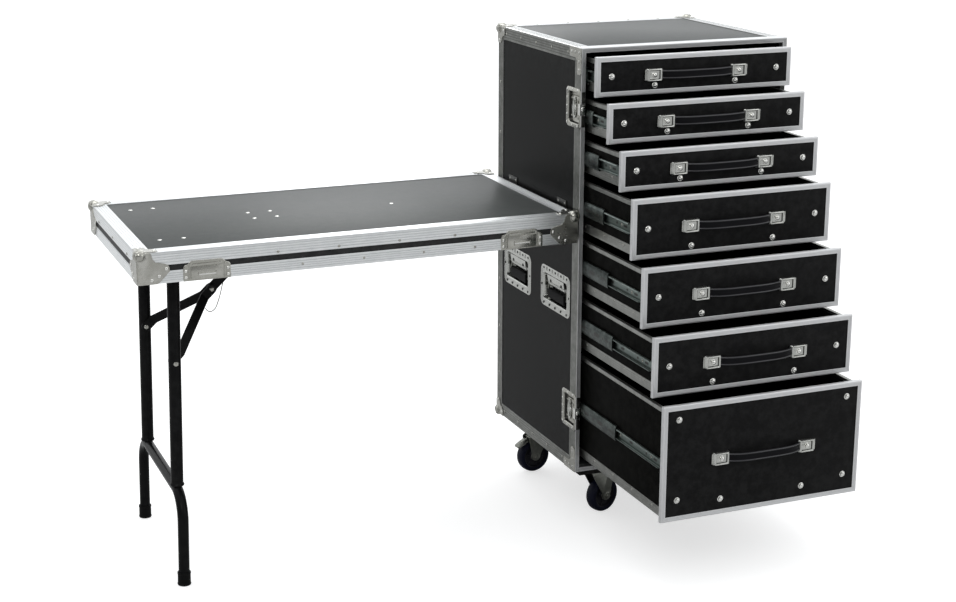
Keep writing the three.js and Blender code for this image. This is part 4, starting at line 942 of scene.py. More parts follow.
# drawers: seven, each drawn closed and then pulled out
drawerSet = {
    "pulls": (52.0, 127.0, 202.0, 272.0, 337.0, 404.0, 464.0),
    "shares": (0.0954,) * 3 + (0.1437,) * 3 + (0.2827,), "frame": 12.5, "gap": 5.3, "spare": 15.5,
    "left": 16.5, "boxLeft": 23.7, "boxBack": 523.0, "wall": 9, "boxUp": 12, "boxDown": 10, "frontInset": 1.7,
    "screwX": 61.5, "lowScrewX": 186,
}
slide = {"ends": (22, 522), "curl": 2.2, "sheet": 1.2}
boxLeft, boxBack = drawerSet["boxLeft"], drawerSet["boxBack"]
tall = high - low - 2 * drawerSet["frame"] - 7 * drawerSet["gap"] - drawerSet["spare"]
rows = []
z = high - drawerSet["frame"] - drawerSet["gap"]
for number, (share, pull) in enumerate(zip(drawerSet["shares"], drawerSet["pulls"]), 1):
    bottom = z - share * tall
    box = (bottom + drawerSet["boxUp"], z - drawerSet["boxDown"])
    rows.append({"number": number, "top": z, "bottom": bottom, "mid": (z + bottom) / 2, "box": box,
        "pull": pull})
    z = bottom - drawerSet["gap"]


def slideSection(webX, flangeX, half, curl):
    # a rolled channel: its flanges curl back over the balls
    d = 1 if flangeX > webX else -1
    t = slide["sheet"]
    edge = [(webX, half - 2), (webX + d * 2, half), (flangeX - d * 1.5, half), (flangeX, half - 1.5),
        (flangeX, half - curl - t), (flangeX - d * t, half - curl - t), (flangeX - d * t, half - 2.2),
        (flangeX - d * 2.2, half - t), (webX + d * 2.4, half - t), (webX + d * t, half - 2.6)]
    return [(x, -v) for x, v in edge] + edge[::-1]


def racewaySection(webX, reach, half, flat):
    # a flat web whose edges roll back over the balls
    outer = [(0, flat), (0.9, flat + 2.2), (2.6, half - 1.2), (5.0, half), (reach - 1, half - 0.4),
        (reach, half - 1.8), (reach, half - 3.6)]
    inside = [(reach - 1.2, half - 3.6), (reach - 1.6, half - 2.0), (5.2, half - 1.2), (3.6, half - 2.4),
        (2.1, flat + 1.7), (1.2, flat - 0.5)]
    loop = [(a, -v) for a, v in outer[::-1]] + outer + inside + [(a, -v) for a, v in inside[::-1]]
    return [(webX + a, v) for a, v in loop]


def addSlide(bm, section, z, mat=0, shift=0.0):
    sweep(bm, [[at(x, y - shift, z + v) for x, v in section] for y in slide["ends"]], mat)


def slotSteps(halfU, halfV, rises):
    # steps of a slot's rim, rounded at both ends: rises are (inset, height)
    return [(halfU - a, halfV - a, (halfV - a) * 0.98, h) for a, h in rises]


def buildCabinetSlides(bm):
    for row in rows:
        addSlide(bm, slideSection(11.0, 20.5, 22.5, slide["curl"]), row["mid"])
        rivets(bm, [(12.2, y, row["mid"]) for y in (42, 110, 180, 300, 420, 500)], right, 1, 3.2, 0.2)


def buildMiddleSlide(bm, row):
    # the middle member follows at half the drawer's travel
    mid, shift = row["mid"], row["pull"] / 2
    addSlide(bm, racewaySection(12.7, 8.3, 20.8, 12.5), mid, 0, shift)
    # ball cages along both flanges, and a stop buffer at the front end
    for v in (-17.6, 17.6):
        addBox(bm, 14.6, 19.4, 40 - shift, 500 - shift, mid + v - 0.5, mid + v + 0.5, 0, 0.2)
        for k in range(9):
            ball = [(2.0, 0), (1.9, 0.9), (1.2, 1.7), (0, 2.0)]
            lathe(bm, at(17, 60 + k * 52 - shift, mid + v), up * (1 if v < 0 else -1), ball, 1, 10)
    addBox(bm, 14.0, 19.5, 24 - shift, 34 - shift, mid - 9, mid + 9, 2, 1.2)
    for y in (60, 128, 380, 470):
        steps = [(16 - a, 6 - a, 5.4 - a, h) for a, h in ((0, 0), (0.2, 0.7), (1.2, 0.7), (1.4, 0.1))]
        padded(bm, lambda u, v, h: at(13.9 + h, y - shift + u, mid + v), steps)
    slots = ((34, 5, 4), (52, 9, 3.4), (76, 4, 4), (112, 16, 5), (150, 4, 4), (190, 12, 3.4), (240, 16, 5))
    for y, halfY, halfZ in slots:
        # slots through the web, seen from the cabinet's side, drawn as dark pads of painted shade
        steps = slotSteps(halfY, halfZ, ((0, -0.1), (0.2, 0.1), (0.9, 0.12)))
        padded(bm, lambda u, v, h: at(12.7 - h, y - shift + u, mid + v), steps, 4, 3)


def buildDrawerSide(bm, row):
    # rim cap on the top edge, foot angle on the bottom edge, and the drawer's own slide member
    x, mid, (z0, z1) = boxLeft, row["mid"], row["box"]
    rim = [(x - 1, z1 - 9), (x - 0.4, z1 - 9), (x - 0.1, z1 - 0.1), (x + 9, z1), (x + 9.6, z1 - 7),
        (x + 10.2, z1 - 7), (x + 10, z1 + 0.4), (x + 9.4, z1 + 1), (x - 0.5, z1 + 1), (x - 1, z1 + 0.5)]
    face = [(p[0], p[1]) for p in grooved((x - 1, z0 + 23.6), (x - 1, z0 - 0.4), (1, 0), 3, 1.6, 0.5)]
    foot = [(x - 0.1, z0 + 24), *face, (x - 0.6, z0 - 1), (x + 15, z0 - 1), (x + 15, z0 - 0.1),
        (x - 0.1, z0 - 0.1)]
    for section in (rim, foot):
        sweep(bm, [[at(u, y, v) for u, v in section] for y in (11.2, boxBack)])
    rivets(bm, [(x - 1, y, z0 + 16) for y in (60, 170, 280, 390, 500)], leftOut, 2, 3.0, 1.1)
    addSlide(bm, slideSection(x - 0.1, x - 9.2, 14, 1.8), mid, 3)
    # slots in the drawer's slide member, drawn as dark pads of painted shade
    for y, halfY, halfZ in ((48, 9, 3.2), (96, 4, 3.4), (180, 9, 3.2), (300, 9, 3.2), (430, 9, 3.2)):
        steps = slotSteps(halfY, halfZ, ((0, -0.1), (0.1, 0.35), (0.9, 0.35), (1.0, 0.02)))
        padded(bm, lambda u, v, h: at(x - 1.3 - h, y + u, mid + v), steps, 3, 1)
    for y in (70, 240, 380):
        screw(bm, at(x - 1.3, y, mid), leftOut, 2, 3.0, 1.2)


def buildDrawerBox(bm, row):
    z0, z1 = row["box"]
    x0, x1, wall = boxLeft, wide - boxLeft, drawerSet["wall"]
    for x in (x0, x1 - wall):
        addBox(bm, x, x + wall, 9.6, boxBack, z0, z1, 0, 0.3)
    addBox(bm, x0 + wall, x1 - wall, boxBack - wall, boxBack - 0.2, z0, z1, 0, 0.3)
    addBox(bm, x0 + wall, x1 - wall, 10.8, boxBack - wall, z0 + 0.2, z0 + 6, 1, 0.2)


def buildDrawerFront(bm, row):
    inset = drawerSet["left"] + drawerSet["frontInset"]
    addBox(bm, inset, wide - inset, clear, 10.9, row["bottom"] + clear, row["top"] - clear, 0, 0.2)


def buildDrawerTrim(bm, row):
    # the outer edge is rolled, so each bar of the trim catches the light from its own side
    section = [(1.5, 1.9), (1.5, 11), (0, 11), (0, 2.2), (0.4, 1.3), (1.2, 0.6), (2.2, 0.15),
        *grooved((3.0, 0), (12.2, 0), (0, 1), 2, 1.8, 0.4), (13, 0.5), (13, 1.9)]
    left = drawerSet["left"]
    frameRing(bm, section, (left, row["bottom"]), (wide - left, row["top"]), lambda a, b, d: at(a, d, b))


def buildDrawerScrews(bm, row):
    deepOne = row["number"] == 7
    heights = (row["top"] - 38, row["bottom"] + 55) if deepOne else (row["mid"],)
    outer, inside = drawerSet["screwX"], drawerSet["lowScrewX"]
    spots = [(x, z) for z in heights for x in (outer, wide - outer)]
    spots += [(x, row["bottom"] + (41 if deepOne else 24)) for x in (inside, wide - inside)]
    for x, z in spots:
        screw(bm, at(x, 1.5, z), frontOut)


# strap handles: a bowed band between two end caps, each cap with its screw in a cup
strap = {"middle": 305, "half": 110.5, "rise": 20.0, "thick": 5.0, "wide": 12.0, "capX": 124.5, "capUp": 8.6}
capSteps = [(24, 17, 3, 0), (24, 17, 3, 5.6), (23.2, 16.4, 3, 7.2), (20, 15.6, 2.6, 11.6),
    (18.8, 14.6, 2.4, 12), (16.2, 12.4, 2, 12), (15.4, 11.6, 1.6, 11.2), (14.4, 10.8, 1.4, 9.0),
    (13.6, 10.2, 1.2, 8.6), (9, 9, 1.2, 8.6)]


def buildStrap(bm, row):
    # section across the strap: a flat band between two round beads, with thin flat edges
    half, reach, rise = strap["wide"], strap["half"], strap["rise"]
    beads = []
    for s in (-1, 1):
        arc = [polar(t) for t in range(170, 0, -20)]
        beads.append([(s * 8.9 + 1.9 * c, 0.9 - 1.5 * d) for c, d in arc])
    outer = [(-half, 1.4), (-half + 0.5, 0.9), (-10.6, 0.9), *beads[0], (-6.2, 0.9), (0, 0.7), (6.2, 0.9),
        *beads[1], (half - 0.5, 0.9), (half, 1.4)]
    section = outer + [(half, 3.8), (half - 0.8, 4.8), (-half + 0.8, 4.8), (-half, 3.8)]
    rings = []
    for k in range(41):
        s = k / 20 - 1
        y = skin - 0.15 - rise * (1 - s ** 4) - strap["thick"]
        slope = math.atan2(4 * rise * s ** 3, reach)
        x = strap["middle"] + s * reach
        leanX, leanY = -math.sin(slope), math.cos(slope)
        rings.append([at(x + d * leanX, y + d * leanY, row["mid"] + v) for v, d in section])
    # the upper half of each bead takes a lighter, glossier copy of the strap: a painted highlight
    pairs = list(zip(outer, outer[1:]))
    beadHighlight = {j for j, (p, q) in enumerate(pairs) if min(p[1], q[1]) < 0.35 and p[0] * q[0] > 0}
    sweep(bm, rings, grooveColumns=beadHighlight, grooveMat=1)


def buildStrapCaps(bm, row):
    mid, cup = row["mid"], strap["capUp"]
    for side in (-1, 1):
        x = strap["middle"] + side * strap["capX"]
        # the cup's inner walls, rows 6 and 7, take the third material as painted shade
        padded(bm, lambda u, v, h: at(x + side * u, skin - h, mid + v), capSteps, 3, grooveRows={6, 7})
        for v in (-13.9, 13.9):
            # pressed beads beside the screw, in the lighter copy of nickel as painted highlights
            addBox(bm, x - 17, x + 17, -11.6, -10.2, mid + v - 1.0, mid + v + 1.0, 1, 0.5)
        end = x + side * 25
        addBox(bm, end - 1.5, end + 1.5, -5.0, 1.6, mid - 14, mid + 14, 0, 1.0)
        screw(bm, at(x, skin - cup, mid), frontOut, 1, 6.6, 7.0)


addPair("cabinet_slides", buildCabinetSlides, [zinc, nickel], "cabinet", "zinc")
drawerPieces = {
    "box": (buildDrawerBox, [drawerBoard, boardEdge], "laminate"),
    "front": (buildDrawerFront, [laminateFrontShade], "laminate"),
    "trim": (buildDrawerTrim, [trimAluminium, nickel, trimGroove], "aluminium"),
    "screws": (buildDrawerScrews, [nickelHighlight], "nickel"),
    "strap": (buildStrap, [strapBlack, strapBeadHighlight], "rubber"),
    "strap_caps": (buildStrapCaps, [nickelLit, nickelHighlight, darkSteelAndShade], "nickel"),
}
for row in rows:
    n, pull = row["number"], row["pull"]
    body = f"drawer_{n}"
    for name, (build, finishes, slot) in drawerPieces.items():
        stands = (body,) if name == "box" else ()
        addPiece(f"{body}_{name}", lambda bm: build(bm, row), finishes, body, slot, stands, pull=pull)
    addPair(f"{body}_rails", lambda bm: buildDrawerSide(bm, row),
        [railAluminium, darkSteelAndShade, nickel, zincLit], body, "aluminium", pull=pull)
    addPair(f"slide_middle_{n}", lambda bm: buildMiddleSlide(bm, row), [zinc, nickel, rubber, darkSteelAndShade],
        f"slide_mid_{n}", "zinc", f"slide_mid_{n}_{{side}}")
print("drawers ready")


# casters: drawn about their own swivel, the axle behind it, then turned to their places
caster = {
    "axleX": 28, "axleZ": 50, "forkY": 18.6, "forkTop": 129.5, "pedalPin": at(42, 0, 108), "pedalTilt": 28.6,
    "knuckle": (10, 18), "spokeTurn": 12,
}


def buildFork(bm, brake):
    head = [(0, 126), (20, 126), (27, 127.6), (30.4, 129.2), (31, 131), (30, 132.6), (28.6, 133.2),
        (28.6, 134.4), (30.4, 135.2), (31, 137), (30, 138.8), (27, 140.6), (20, 140.7), (0, 140.7)]
    lathe(bm, at(0, 0, 0), up, head, 0, 32)
    axleX, axleZ, top, forkY = caster["axleX"], caster["axleZ"], caster["forkTop"], caster["forkY"]
    # the fork's cheeks are wider where they carry the brake's pin
    knuckle = axleX + caster["knuckle"][brake]
    outline = [(-27, top), (-26, 121), (12, 58), (15, 45), (21, 38.5), (28, 36.5), (35, 38.5), (40, 44),
        (42, 52), (knuckle + 6, 104), (knuckle + 6, 110), (knuckle, 114), (34, 120), (33, top)]
    cx = sum(p[0] for p in outline) / len(outline)
    cz = sum(p[1] for p in outline) / len(outline)
    nut = [(9.6, 0), (9.6, 1.4), (8.6, 1.8), (8.0, 1.8), (8.0, 5.8), (7.2, 6.6), (3.6, 6.6), (3.2, 8.2),
        (0, 8.4)]
    washer = [(11.5, -0.2), (11.5, 0.8), (10.8, 1.2), (8, 1.2)]
    for s in (-1, 1):
        y = s * forkY
        sweep(bm, [[at(cx + (p - cx) * k, y + s * w, cz + (q - cz) * k) for p, q in outline]
            for k, w in ((1, 0), (1, 2.2), (0.975, 3.0))])
        # turned flange along the top
        boxBetween(bm, (-27, y, top - 3), (33, y - s * 8, top), 0, 0.6)
        face = at(axleX, y + s * 2.8, axleZ)
        lathe(bm, face, back * s, nut, 0, 6)
        lathe(bm, face, back * s, washer)
        if brake:
            rivets(bm, [caster["pedalPin"] + back * s * 21.6], back * s, 0, 4.0, 1.8)
    addBox(bm, -27, 33, -forkY, forkY, top - 3, top, 0, 0.8)
    rod(bm, at(axleX, -forkY, axleZ), at(axleX, forkY, axleZ), 5.6)


def buildWheel(bm):
    centre = at(caster["axleX"], 0, caster["axleZ"])
    tyre = [(36, -12), (37, -14.8), (43, -16), (46.5, -14.6), (49, -10.5), (50, -4), (50, 4), (49, 10.5),
        (46.5, 14.6), (43, 16), (37, 14.8), (36, 12)]
    hub = [(6.4, -14), (12, -14), (13, -13), (14, -8), (16, -6.4), (31, -6.8), (33.5, -9), (34.6, -12.6),
        (36.4, -12.8)]
    hub += [(r, -h) for r, h in hub[::-1]]
    bush = [(6.4, 0), (13.5, 0), (14.2, 0.6), (13.6, 1.3), (9, 1.8), (6.4, 1.8)]
    lathe(bm, centre, back, tyre, 0, 48, closed=True)
    lathe(bm, centre, back, hub, 1, 48, closed=True)
    for s in (-1, 1):
        for k in range(6):
            # spokes in the hub's dish
            c, d = polar(60 * k + caster["spokeTurn"])
            along = at(c, 0, d)
            rod(bm, centre + along * 14 + back * s * 7.2, centre + along * 33 + back * s * 7.6, 1.6, 1, 8)
        lathe(bm, centre + back * s * 14, back * s, bush, 2, 32, closed=True)


def buildPedal(bm):
    # pressed pedal with turned-down sides and three foot ridges
    rings = []
    steps = ((0, 13, 0.6), (8, 14.4, 1.2), (30, 15, 1.5), (44, 14.4, 1.5), (49, 11, 1.3), (50, 8, 1.0))
    for x, half, rise in steps:
        ring = [(-half, -2.6), (-half + 1.4, -2.6), (-half + 1.8, rise - 2.2), (half - 1.8, rise - 2.2),
            (half - 1.4, -2.6), (half, -2.6), (half - 0.4, rise - 0.6), (half - 1.4, rise),
            (-half + 1.4, rise), (-half + 0.4, rise - 0.6)]
        rings.append([at(x, y, z) for y, z in ring])
    sweep(bm, rings)
    for x in (28, 34, 40):
        addBox(bm, x - 1.2, x + 1.2, -10, 10, 1.2, 2.4)
    tilt = Matrix.Rotation(math.radians(caster["pedalTilt"]), 3, "Y")
    bmesh.ops.rotate(bm, verts=bm.verts, cent=(0, 0, 0), matrix=tilt)
    pin = caster["pedalPin"]
    bmesh.ops.translate(bm, verts=bm.verts, vec=pin)
    rod(bm, pin - back * 18.1, pin + back * 18.1, 4.0)


def placeCaster(bm, build, x, y, degrees):
    build(bm)
    turn = Matrix.Rotation(math.radians(degrees), 3, "Z")
    bmesh.ops.rotate(bm, verts=bm.verts, cent=(0, 0, 0), matrix=turn)
    bmesh.ops.translate(bm, verts=bm.verts, vec=(x, y, 0))


casterPieces = [
    ("fork", lambda bm: buildFork(bm, brake), [forkZinc], "zinc", "caster_fork"),
    ("wheel", buildWheel, [wheelBlue, wheelHub, forkZinc], "wheel", "caster_wheel"),
    ("pedal", buildPedal, [forkZinc], "zinc", "brake_pedal"),
]
for where, (*place, brake) in casters.items():
    for kind, build, finishes, slot, node in casterPieces if brake else casterPieces[:2]:
        name, node = f"caster_{where}_{kind}", f"{node}_{where}"
        addPiece(name, lambda bm: placeCaster(bm, build, *place), finishes, node, slot, (node,))
print("casters ready")


# lid used as a table: its top at 898 mm, hollow side down
lid = {
    "left": -1170.0, "right": -10.0, "front": -10.0, "rear": 600.0, "top": 898.0, "low": 819.0,
    "ceiling": 887.0, "wallInside": 10.9, "angle": (36, 34),
}
lidLow, lidHigh = (lid["left"], lid["front"]), (lid["right"], lid["rear"])
lidMid = (lid["front"] + lid["rear"]) / 2
lidRivets = {"upX": (-822, -665, -505, -355), "upY": (110, 295, 480), "upZ": 871,
    "lowX": (-760, -600, -440, -300), "lowZ": 834.5}
lidEnds = ((-1, "front"), (1, "rear"))


def buildTableTop(bm):
    addBox(bm, lid["left"] + clear, lid["right"] - clear, lid["front"] + clear, lid["rear"] - clear,
        lid["ceiling"], lid["top"] - skin, 0, 0.2)


def buildLidWalls(bm):
    z0, z1 = lid["low"] + clear, lid["ceiling"]
    inside = lid["wallInside"]
    frameRing(bm, [(clear, z0), (clear, z1), (inside, z1), (inside, z0)], lidLow, lidHigh, at)


def buildUpperEdging(bm):
    frameRing(bm, angleSection(*lid["angle"]), lidLow, lidHigh, lambda a, b, d: at(a, b, lid["top"] - d))
    z = lidRivets["upZ"]
    for y, out in ((lid["front"], frontOut), (lid["rear"], back)):
        rivets(bm, [(x, y, z) for x in lidRivets["upX"]], out, 1, 3.6, 1.4)
    for x, out in ((lid["left"], leftOut), (lid["right"], right)):
        rivets(bm, [(x, y, z) for y in lidRivets["upY"]], out, 1, 3.6, 1.4)


def buildClosingEdging(bm):
    section = [(1.5, 820.5), (1.5, 849), (0.3, 849), (0, 848.6),
        *grooved((0, 848.4), (0, 820.4), (1, 0), 4, 2.5), (0.6, 819.3),
        *grooved((1.2, 819), (11.8, 819), (0, 1), 2, 2.0, 0.7), (12.5, 819.6), (12.5, 834), (11.1, 834),
        (11.1, 820.5)]
    frameRing(bm, section, lidLow, lidHigh, at)
    for y, out in ((lid["front"], frontOut), (lid["rear"], back)):
        rivets(bm, [(x, y, lidRivets["lowZ"]) for x in lidRivets["lowX"]], out, 1, 3.2, 1.2)


def buildLidCorners(bm):
    outline = [(0, 0), (30, 0), (35, 4), (38, 17), (45, 25), (66, 30), (75, 34), (78, 40), (78, 50), (54, 75),
        (46, 79), (0, 79)]
    sideLeg = (outline, [(70, 43), (52, 60), (34, 69)])
    topLeg = (clippedLeg(52, 28), [(44, 12), (12, 44)])
    for x, dx in ((lid["left"], 1), (lid["right"], -1)):
        for y, dy in ((lid["front"], 1), (lid["rear"], -1)):
            addCorner(bm, at(x, y, lid["top"]), (right * dx, back * dy, -up), (topLeg, sideLeg, sideLeg))


# strikes that the latches catch: steps are (across, up, height) of the plate's rim and sunk middle
strike = {
    "spots": ((-1001.0, "far"), (-169.0, "near")), "pivotUp": 25,
    "steps": ((1, 1, 0), (1, 1, 1.3), (0.985, 0.985, 1.8), (0.93, 0.93, 1.9), (0.86, 0.79, 1.9),
        (0.82, 0.71, 1.4), (0.78, 0.63, 1.2)),
}


def buildStrike(bm, x, y, out):
    def place(u, v, h):
        return at(x + u, y + out * h, lid["low"] + v)

    half = [(58.5, 0), (58.5, 34), (55, 39), (46, 42), (41, 48), (36, 50)]
    outline = [(-58.5, 0), *half, *[(-u, v) for u, v in half[:0:-1]]]
    mid = strike["pivotUp"]
    sweep(bm, [[place(u * k, mid + (v - mid) * m, h) for u, v in outline] for k, m, h in strike["steps"]])
    rivets(bm, [place(u, v, 1.8) for u in (-52, 52) for v in (9, 25)], at(0, out, 0), 1, 4.2, 2.0)
    # raised panel in the middle, a bead over it, creases beside its ends, and a rib
    for u0, u1, v0, v1, rise in ((-40, 40, 3, 35, 3.2), (-36, 36, 39, 42.5, 3.0), (-44.6, -42, 2, 40, 2.8),
            (42, 44.6, 2, 40, 2.8), (-24, 24, 24, 27, 4.0)):
        boxBetween(bm, place(u0, v0, 1.0), place(u1, v1, rise), 0, 0.7)
    # rolled lip that the claw hooks over, in the lighter copy of nickel as a painted highlight, and its end
    # gussets
    lip = [(1.2, 17.5), (4.2, 18.2), (5.6, 17.6), (6.0, 15.4), (5.6, 13.8), (4.8, 13.6), (4.4, 14.6),
        (1.2, 15.0)]
    sweep(bm, [[place(u, v, h) for h, v in lip] for u in (-21, -20, 20, 21)], 1)
    for u in (-22, 22):
        boxBetween(bm, place(u - 1.2, 10, 1.0), place(u + 1.2, 21, 4.6), 0, 0.5)


def buildTongues(bm):
    # plates that drop into the cabinet's hooks
    profile = [(-10, 876.3), (-3.4, 876.3), (-3.6, 852.6), (-3.2, 852.3), (-1.8, 852.3), (-1.4, 852.8),
        (-1.4, 877.6), (-2.2, 878.3), (-10, 878.3)]
    for y in hook["y"]:
        sweep(bm, [[at(x, y + u, z) for x, z in profile] for u in (-27, -26.4, 26.4, 27)])


# folding legs and their brace: the brackets under the table are held by bolts through its top
leg = {
    "x": -1057.0, "z": 860.0, "lean": 1.5, "half": 180.0, "footHalf": 241.0, "footTube": 14.0,
    "footTop": 853.8, "length": 859.84, "bar": 619.84, "bend": 70.0, "bendSteps": 12, "rivet": 282.0,
    "bracket": (84, 39, 32, 17),
}
mount = {"x": -777.0, "z": 846.0, "boltOut": 34, "bracket": (80, 84, 4, 12.5)}
clipX = -419.0
bracket = {"top": 886.9, "step": 884.8, "under": 884.4, "boltAlong": 30}
legYs = [lidMid + s * leg["half"] for s, where in lidEnds]
mountYs = [lidMid + s * mount["boltOut"] for s, where in lidEnds]


def boltSpots(x, ys, z):
    return [at(x + along, y, z) for y in ys for along in (-bracket["boltAlong"], bracket["boltAlong"])]


def buildTableBolts(bm):
    z = lid["top"] - 1.6
    dome = [(5.6, -0.2), (5.6, 0.2), (4.6, 0.9), (3.0, 1.25), (1.2, 1.3), (0, 0.8)]
    for spot in boltSpots(leg["x"], legYs, z) + boltSpots(mount["x"], mountYs, z) + [at(clipX, lidMid, z)]:
        lathe(bm, spot, up, dome, 0, 16)


def buildBracket(bm, part, y, boltYs):
    # a bent plate with two ears, its pin and its bolts
    x, z = part["x"], part["z"]
    length, width, inside, boss = part["bracket"]
    top, under = bracket["top"], bracket["under"]
    base = roundedRect(length / 2, width / 2, 6)
    steps = ((1, top), (1, bracket["step"]), (0.985, under))
    sweep(bm, [[at(x + u * k, y + v * k, h) for u, v in base] for k, h in steps])
    outline = [(-boss, top - z), *[polar(t, boss) for t in range(180, 361, 15)], (boss, top - z)]
    reach = inside / 2 + 3.5
    rod(bm, at(x, y - reach - 1, z), at(x, y + reach + 1, z), 3.8, 0, 14)
    for s in (-1, 1):
        near = y + s * (inside / 2 + 1)
        flatPlate(bm, outline, lambda u, v, h: at(x + u, near + s * h, z + v), 2.5)
        head = [(7, 0), (7, 1.0), (6.2, 2.0), (3, 2.9), (0, 3.0)]
        lathe(bm, at(x, y + s * reach, z), at(0, s, 0), head, 1, 18)
    for spot in boltSpots(x, boltYs, under):
        lathe(bm, spot, -up, [(6.5, 0), (6.5, 3.2), (5.8, 4), (3, 4), (3, 6.4), (0, 6.6)], 1, 6)


def buildLegClip(bm):
    steps = ((20, 20, 5, 886.9), (20, 20, 5, 884.9), (19.4, 19.4, 5, 884.5))
    padded(bm, lambda u, v, h: at(clipX + u, lidMid + v, h), steps)
    lathe(bm, at(clipX, lidMid, 884.5), -up, [(6.5, 0), (6.5, 2.6), (5.8, 3.4), (0, 3.4)], 1, 6)


addPiece("table_top", buildTableTop, [laminateTable], "lid", "laminate", ("lid_shell",))
addPiece("lid_walls", buildLidWalls, [laminateLidLit], "lid", "laminate")
lidBars = [aluminium, nickel, grooveShade]
addPiece("lid_upper_edging", buildUpperEdging, lidBars, "lid", "aluminium", ("lid_edging",))
addPiece("lid_closing_edging", buildClosingEdging, lidBars, "lid", "aluminium")
addPiece("lid_corners", buildLidCorners, [nickel, nickelHighlight], "lid", "nickel")
for x, where in strike["spots"]:
    for out, side in lidEnds:
        y = lid[side]
        name, look = f"strike_{where}_{side}", [nickel, nickelHighlight]
        addPiece(name, lambda bm: buildStrike(bm, x, y, out), look, "lid", "nickel")
addPiece("lid_tongues", buildTongues, [nickel], "lid", "nickel")
addPiece("table_bolts", buildTableBolts, [nickelHighlight], "lid", "nickel")
steelParts = [blackSteel, forkZinc]
for y, (s, where) in zip(legYs, lidEnds):
    name = f"leg_bracket_{where}"
    addPiece(name, lambda bm: buildBracket(bm, leg, y, [y]), steelParts, "lid", "black_steel", (name,))
addPiece("brace_mount", lambda bm: buildBracket(bm, mount, lidMid, mountYs), steelParts, "lid", "black_steel")
addPiece("leg_clip", buildLegClip, steelParts, "lid", "black_steel")
print("lid ready")


# two uprights with a foot loop across them, rubber feet
lean = math.radians(leg["lean"])
down = at(-math.sin(lean), 0, -math.cos(lean))
pivot = at(leg["x"], lidMid, leg["z"])


def legSpot(y, depth):
    return pivot + down * depth + back * y


def buildLegFrame(bm):
    bar, bend, footHalf = leg["bar"], leg["bend"], leg["footHalf"]
    upright = [(8, -17.4), (13, -17.0), (15.4, -15.6), (16, -13.4), (16, bar - 12)]
    weld = [(16, -2), (17.6, 0), (18.6, 2.6), (17.4, 5.2), (14, 6)]
    head = [(6.4, -0.6), (6.4, 0.6), (5.6, 1.8), (3, 2.7), (0, 2.9)]
    path = [legSpot(-footHalf, leg["footTop"])]
    for s in (-1, 1):
        y = s * leg["half"]
        lathe(bm, legSpot(y, 0), down, upright, 0, 32)
        # weld bead where the upright meets the loop
        lathe(bm, legSpot(y, bar - 14.6), down, weld, 0, 32)
        spot = legSpot(y, leg["rivet"])
        rod(bm, spot - back * 17.6, spot + back * 17.6, 4.2, 1, 14)
        for t in (-1, 1):
            lathe(bm, spot + back * t * 16.2, back * t, head, 1, 16)
        centre = legSpot(s * (footHalf - bend), bar + bend)
        turns = [polar(90 * k / leg["bendSteps"], bend) for k in range(leg["bendSteps"] + 1)]
        path += [centre + back * s * a - down * b for a, b in turns[::-s]]
    path.append(legSpot(footHalf, leg["footTop"]))
    tube(bm, path, leg["footTube"], 0, 28)


def buildFoot(bm, s):
    cap = [(0, 0), (14.6, 0), (16.6, 0.8), (17.4, 2.6), (17.4, 5), (16.4, 6.6), (16.6, 9), (16.6, 30),
        (17.3, 31), (17.3, 34.4), (16.4, 35.8), (14.4, 36), (14.3, 20)]
    lathe(bm, legSpot(s * leg["footHalf"], leg["length"]), -down, cap, 0, 36)


# brace: two arms from the uprights to a middle joint, one link from there to the lid
brace = {"jointPart": 0.4975, "tabY": 161.0, "earY": 8.2, "half": 13.0, "thick": 2.0, "wirePart": 0.38,
    "wireY": 4.1}
riveted = pivot + down * leg["rivet"]
mountPin = at(mount["x"], lidMid, mount["z"])
joint = riveted.lerp(mountPin, brace["jointPart"])
slope = (mountPin - riveted).normalized()
barSide = slope.cross(back).normalized()


def addStrip(bm, points):
    # a flat bar carried through bends, rounded at both ends: barSide is across its face
    half, thick = brace["half"], brace["thick"]
    ways = [(q - p).normalized() for p, q in zip(points, points[1:])]
    spots = []
    for end, way, turns in ((points[0], ways[0], (180, 150, 120)), (points[-1], ways[-1], (60, 30, 0))):
        for reach, width in [polar(t, half) for t in turns]:
            spots.append((end + way * reach, max(width, 0.4), way))
    bends = [(p, half, (a + b).normalized()) for p, a, b in zip(points[1:], ways, ways[1:])]
    spots[3:3] = [(points[0], half, ways[0]), *bends, (points[-1], half, ways[-1])]
    rings = []
    for p, w, way in spots:
        n = way.cross(barSide).normalized()
        ease = min(0.6, w * 0.4)
        edge = [(-w, -thick + ease), (-w + ease, -thick), (w - ease, -thick), (w, -thick + ease)]
        edge += [(-a, -b) for a, b in edge]
        rings.append([p + barSide * a + n * b for a, b in edge])
    sweep(bm, rings)


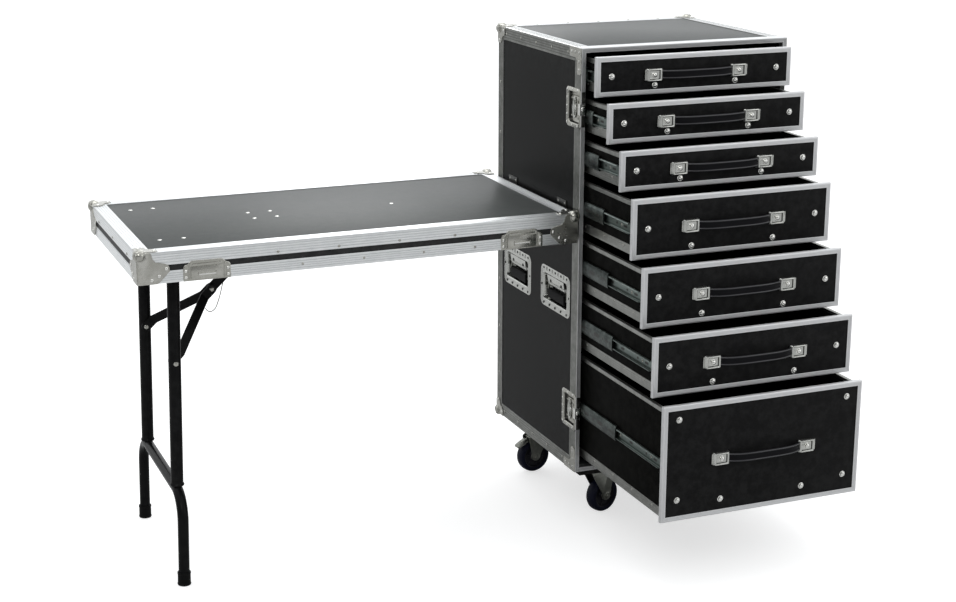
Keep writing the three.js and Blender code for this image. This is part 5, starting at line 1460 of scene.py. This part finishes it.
def buildArm(bm, s):
    out = back * s
    foot, head = riveted + out * brace["tabY"], joint + out * brace["earY"]
    addStrip(bm, [foot, foot + slope * 24, foot + slope * 28 - out * 1.5, head - slope * 28 + out * 1.5,
        head - slope * 24, head])
    rod(bm, foot - out * 2, foot + out * 4, 5.4)
    lathe(bm, foot - out * 1.8, -out, [(6.4, 0), (6.4, 0.8), (5.4, 2), (2.8, 2.9), (0, 3)], 1, 16)
    lathe(bm, head + out * 1.8, out, [(6.6, 0), (6.6, 0.8), (5.6, 2.1), (2.8, 3.1), (0, 3.2)], 1, 16)


def buildLink(bm):
    addStrip(bm, [joint, joint.lerp(mountPin, 0.5), mountPin])
    rod(bm, joint - back * 5.6, joint + back * 5.6, 4.4)


def buildWire(bm):
    # hanging lock wire with a closed eye and an open hook, carried smoothly through its guide points
    post = joint.lerp(mountPin, brace["wirePart"])
    y = brace["wireY"]
    guide = [(2, -3.6, -1.4), (0, -2.6, 0.4), (0, y - 1, 0.3)]
    guide += [(a, y, b) for a, b in ((-4, -4), (-13, -19), (-22, -41), (-31, -74), (-41, -101), (-49, -112),
        (-58, -115.5), (-66, -112), (-71, -105))]
    guide = [post + at(*p) for p in guide]
    path = []
    for p0, p1, p2, p3 in zip(guide[:1] + guide, guide, guide[1:], guide[2:] + guide[-1:]):
        for t in (k / 6 for k in range(6)):
            square = (2 * p0 - 5 * p1 + 4 * p2 - p3) * t * t
            path.append(0.5 * (2 * p1 + (p2 - p0) * t + square + (3 * p1 - p0 - 3 * p2 + p3) * t ** 3))
    tube(bm, path + guide[-1:], 1.25, 0, 10)


addPiece("leg_frame", buildLegFrame, [blackSteel, nickel], "legs", "black_steel", ("leg_frame",))
for s, where in lidEnds:
    addPiece(f"foot_{where}", lambda bm: buildFoot(bm, s), [rubber], "legs", "rubber", (f"foot_cap_{where}",))
for s, where in lidEnds:
    name = f"brace_arm_{where}"
    addPiece(name, lambda bm: buildArm(bm, s), [blackSteel, nickel], "brace_arms", "black_steel", (name,))
addPiece("brace_link", buildLink, [blackSteel], "brace_link", "black_steel", ("brace_link",))
addPiece("lock_wire", buildWire, [forkZinc], "lock_wire", "zinc", ("lock_wire",))
print("legs ready")
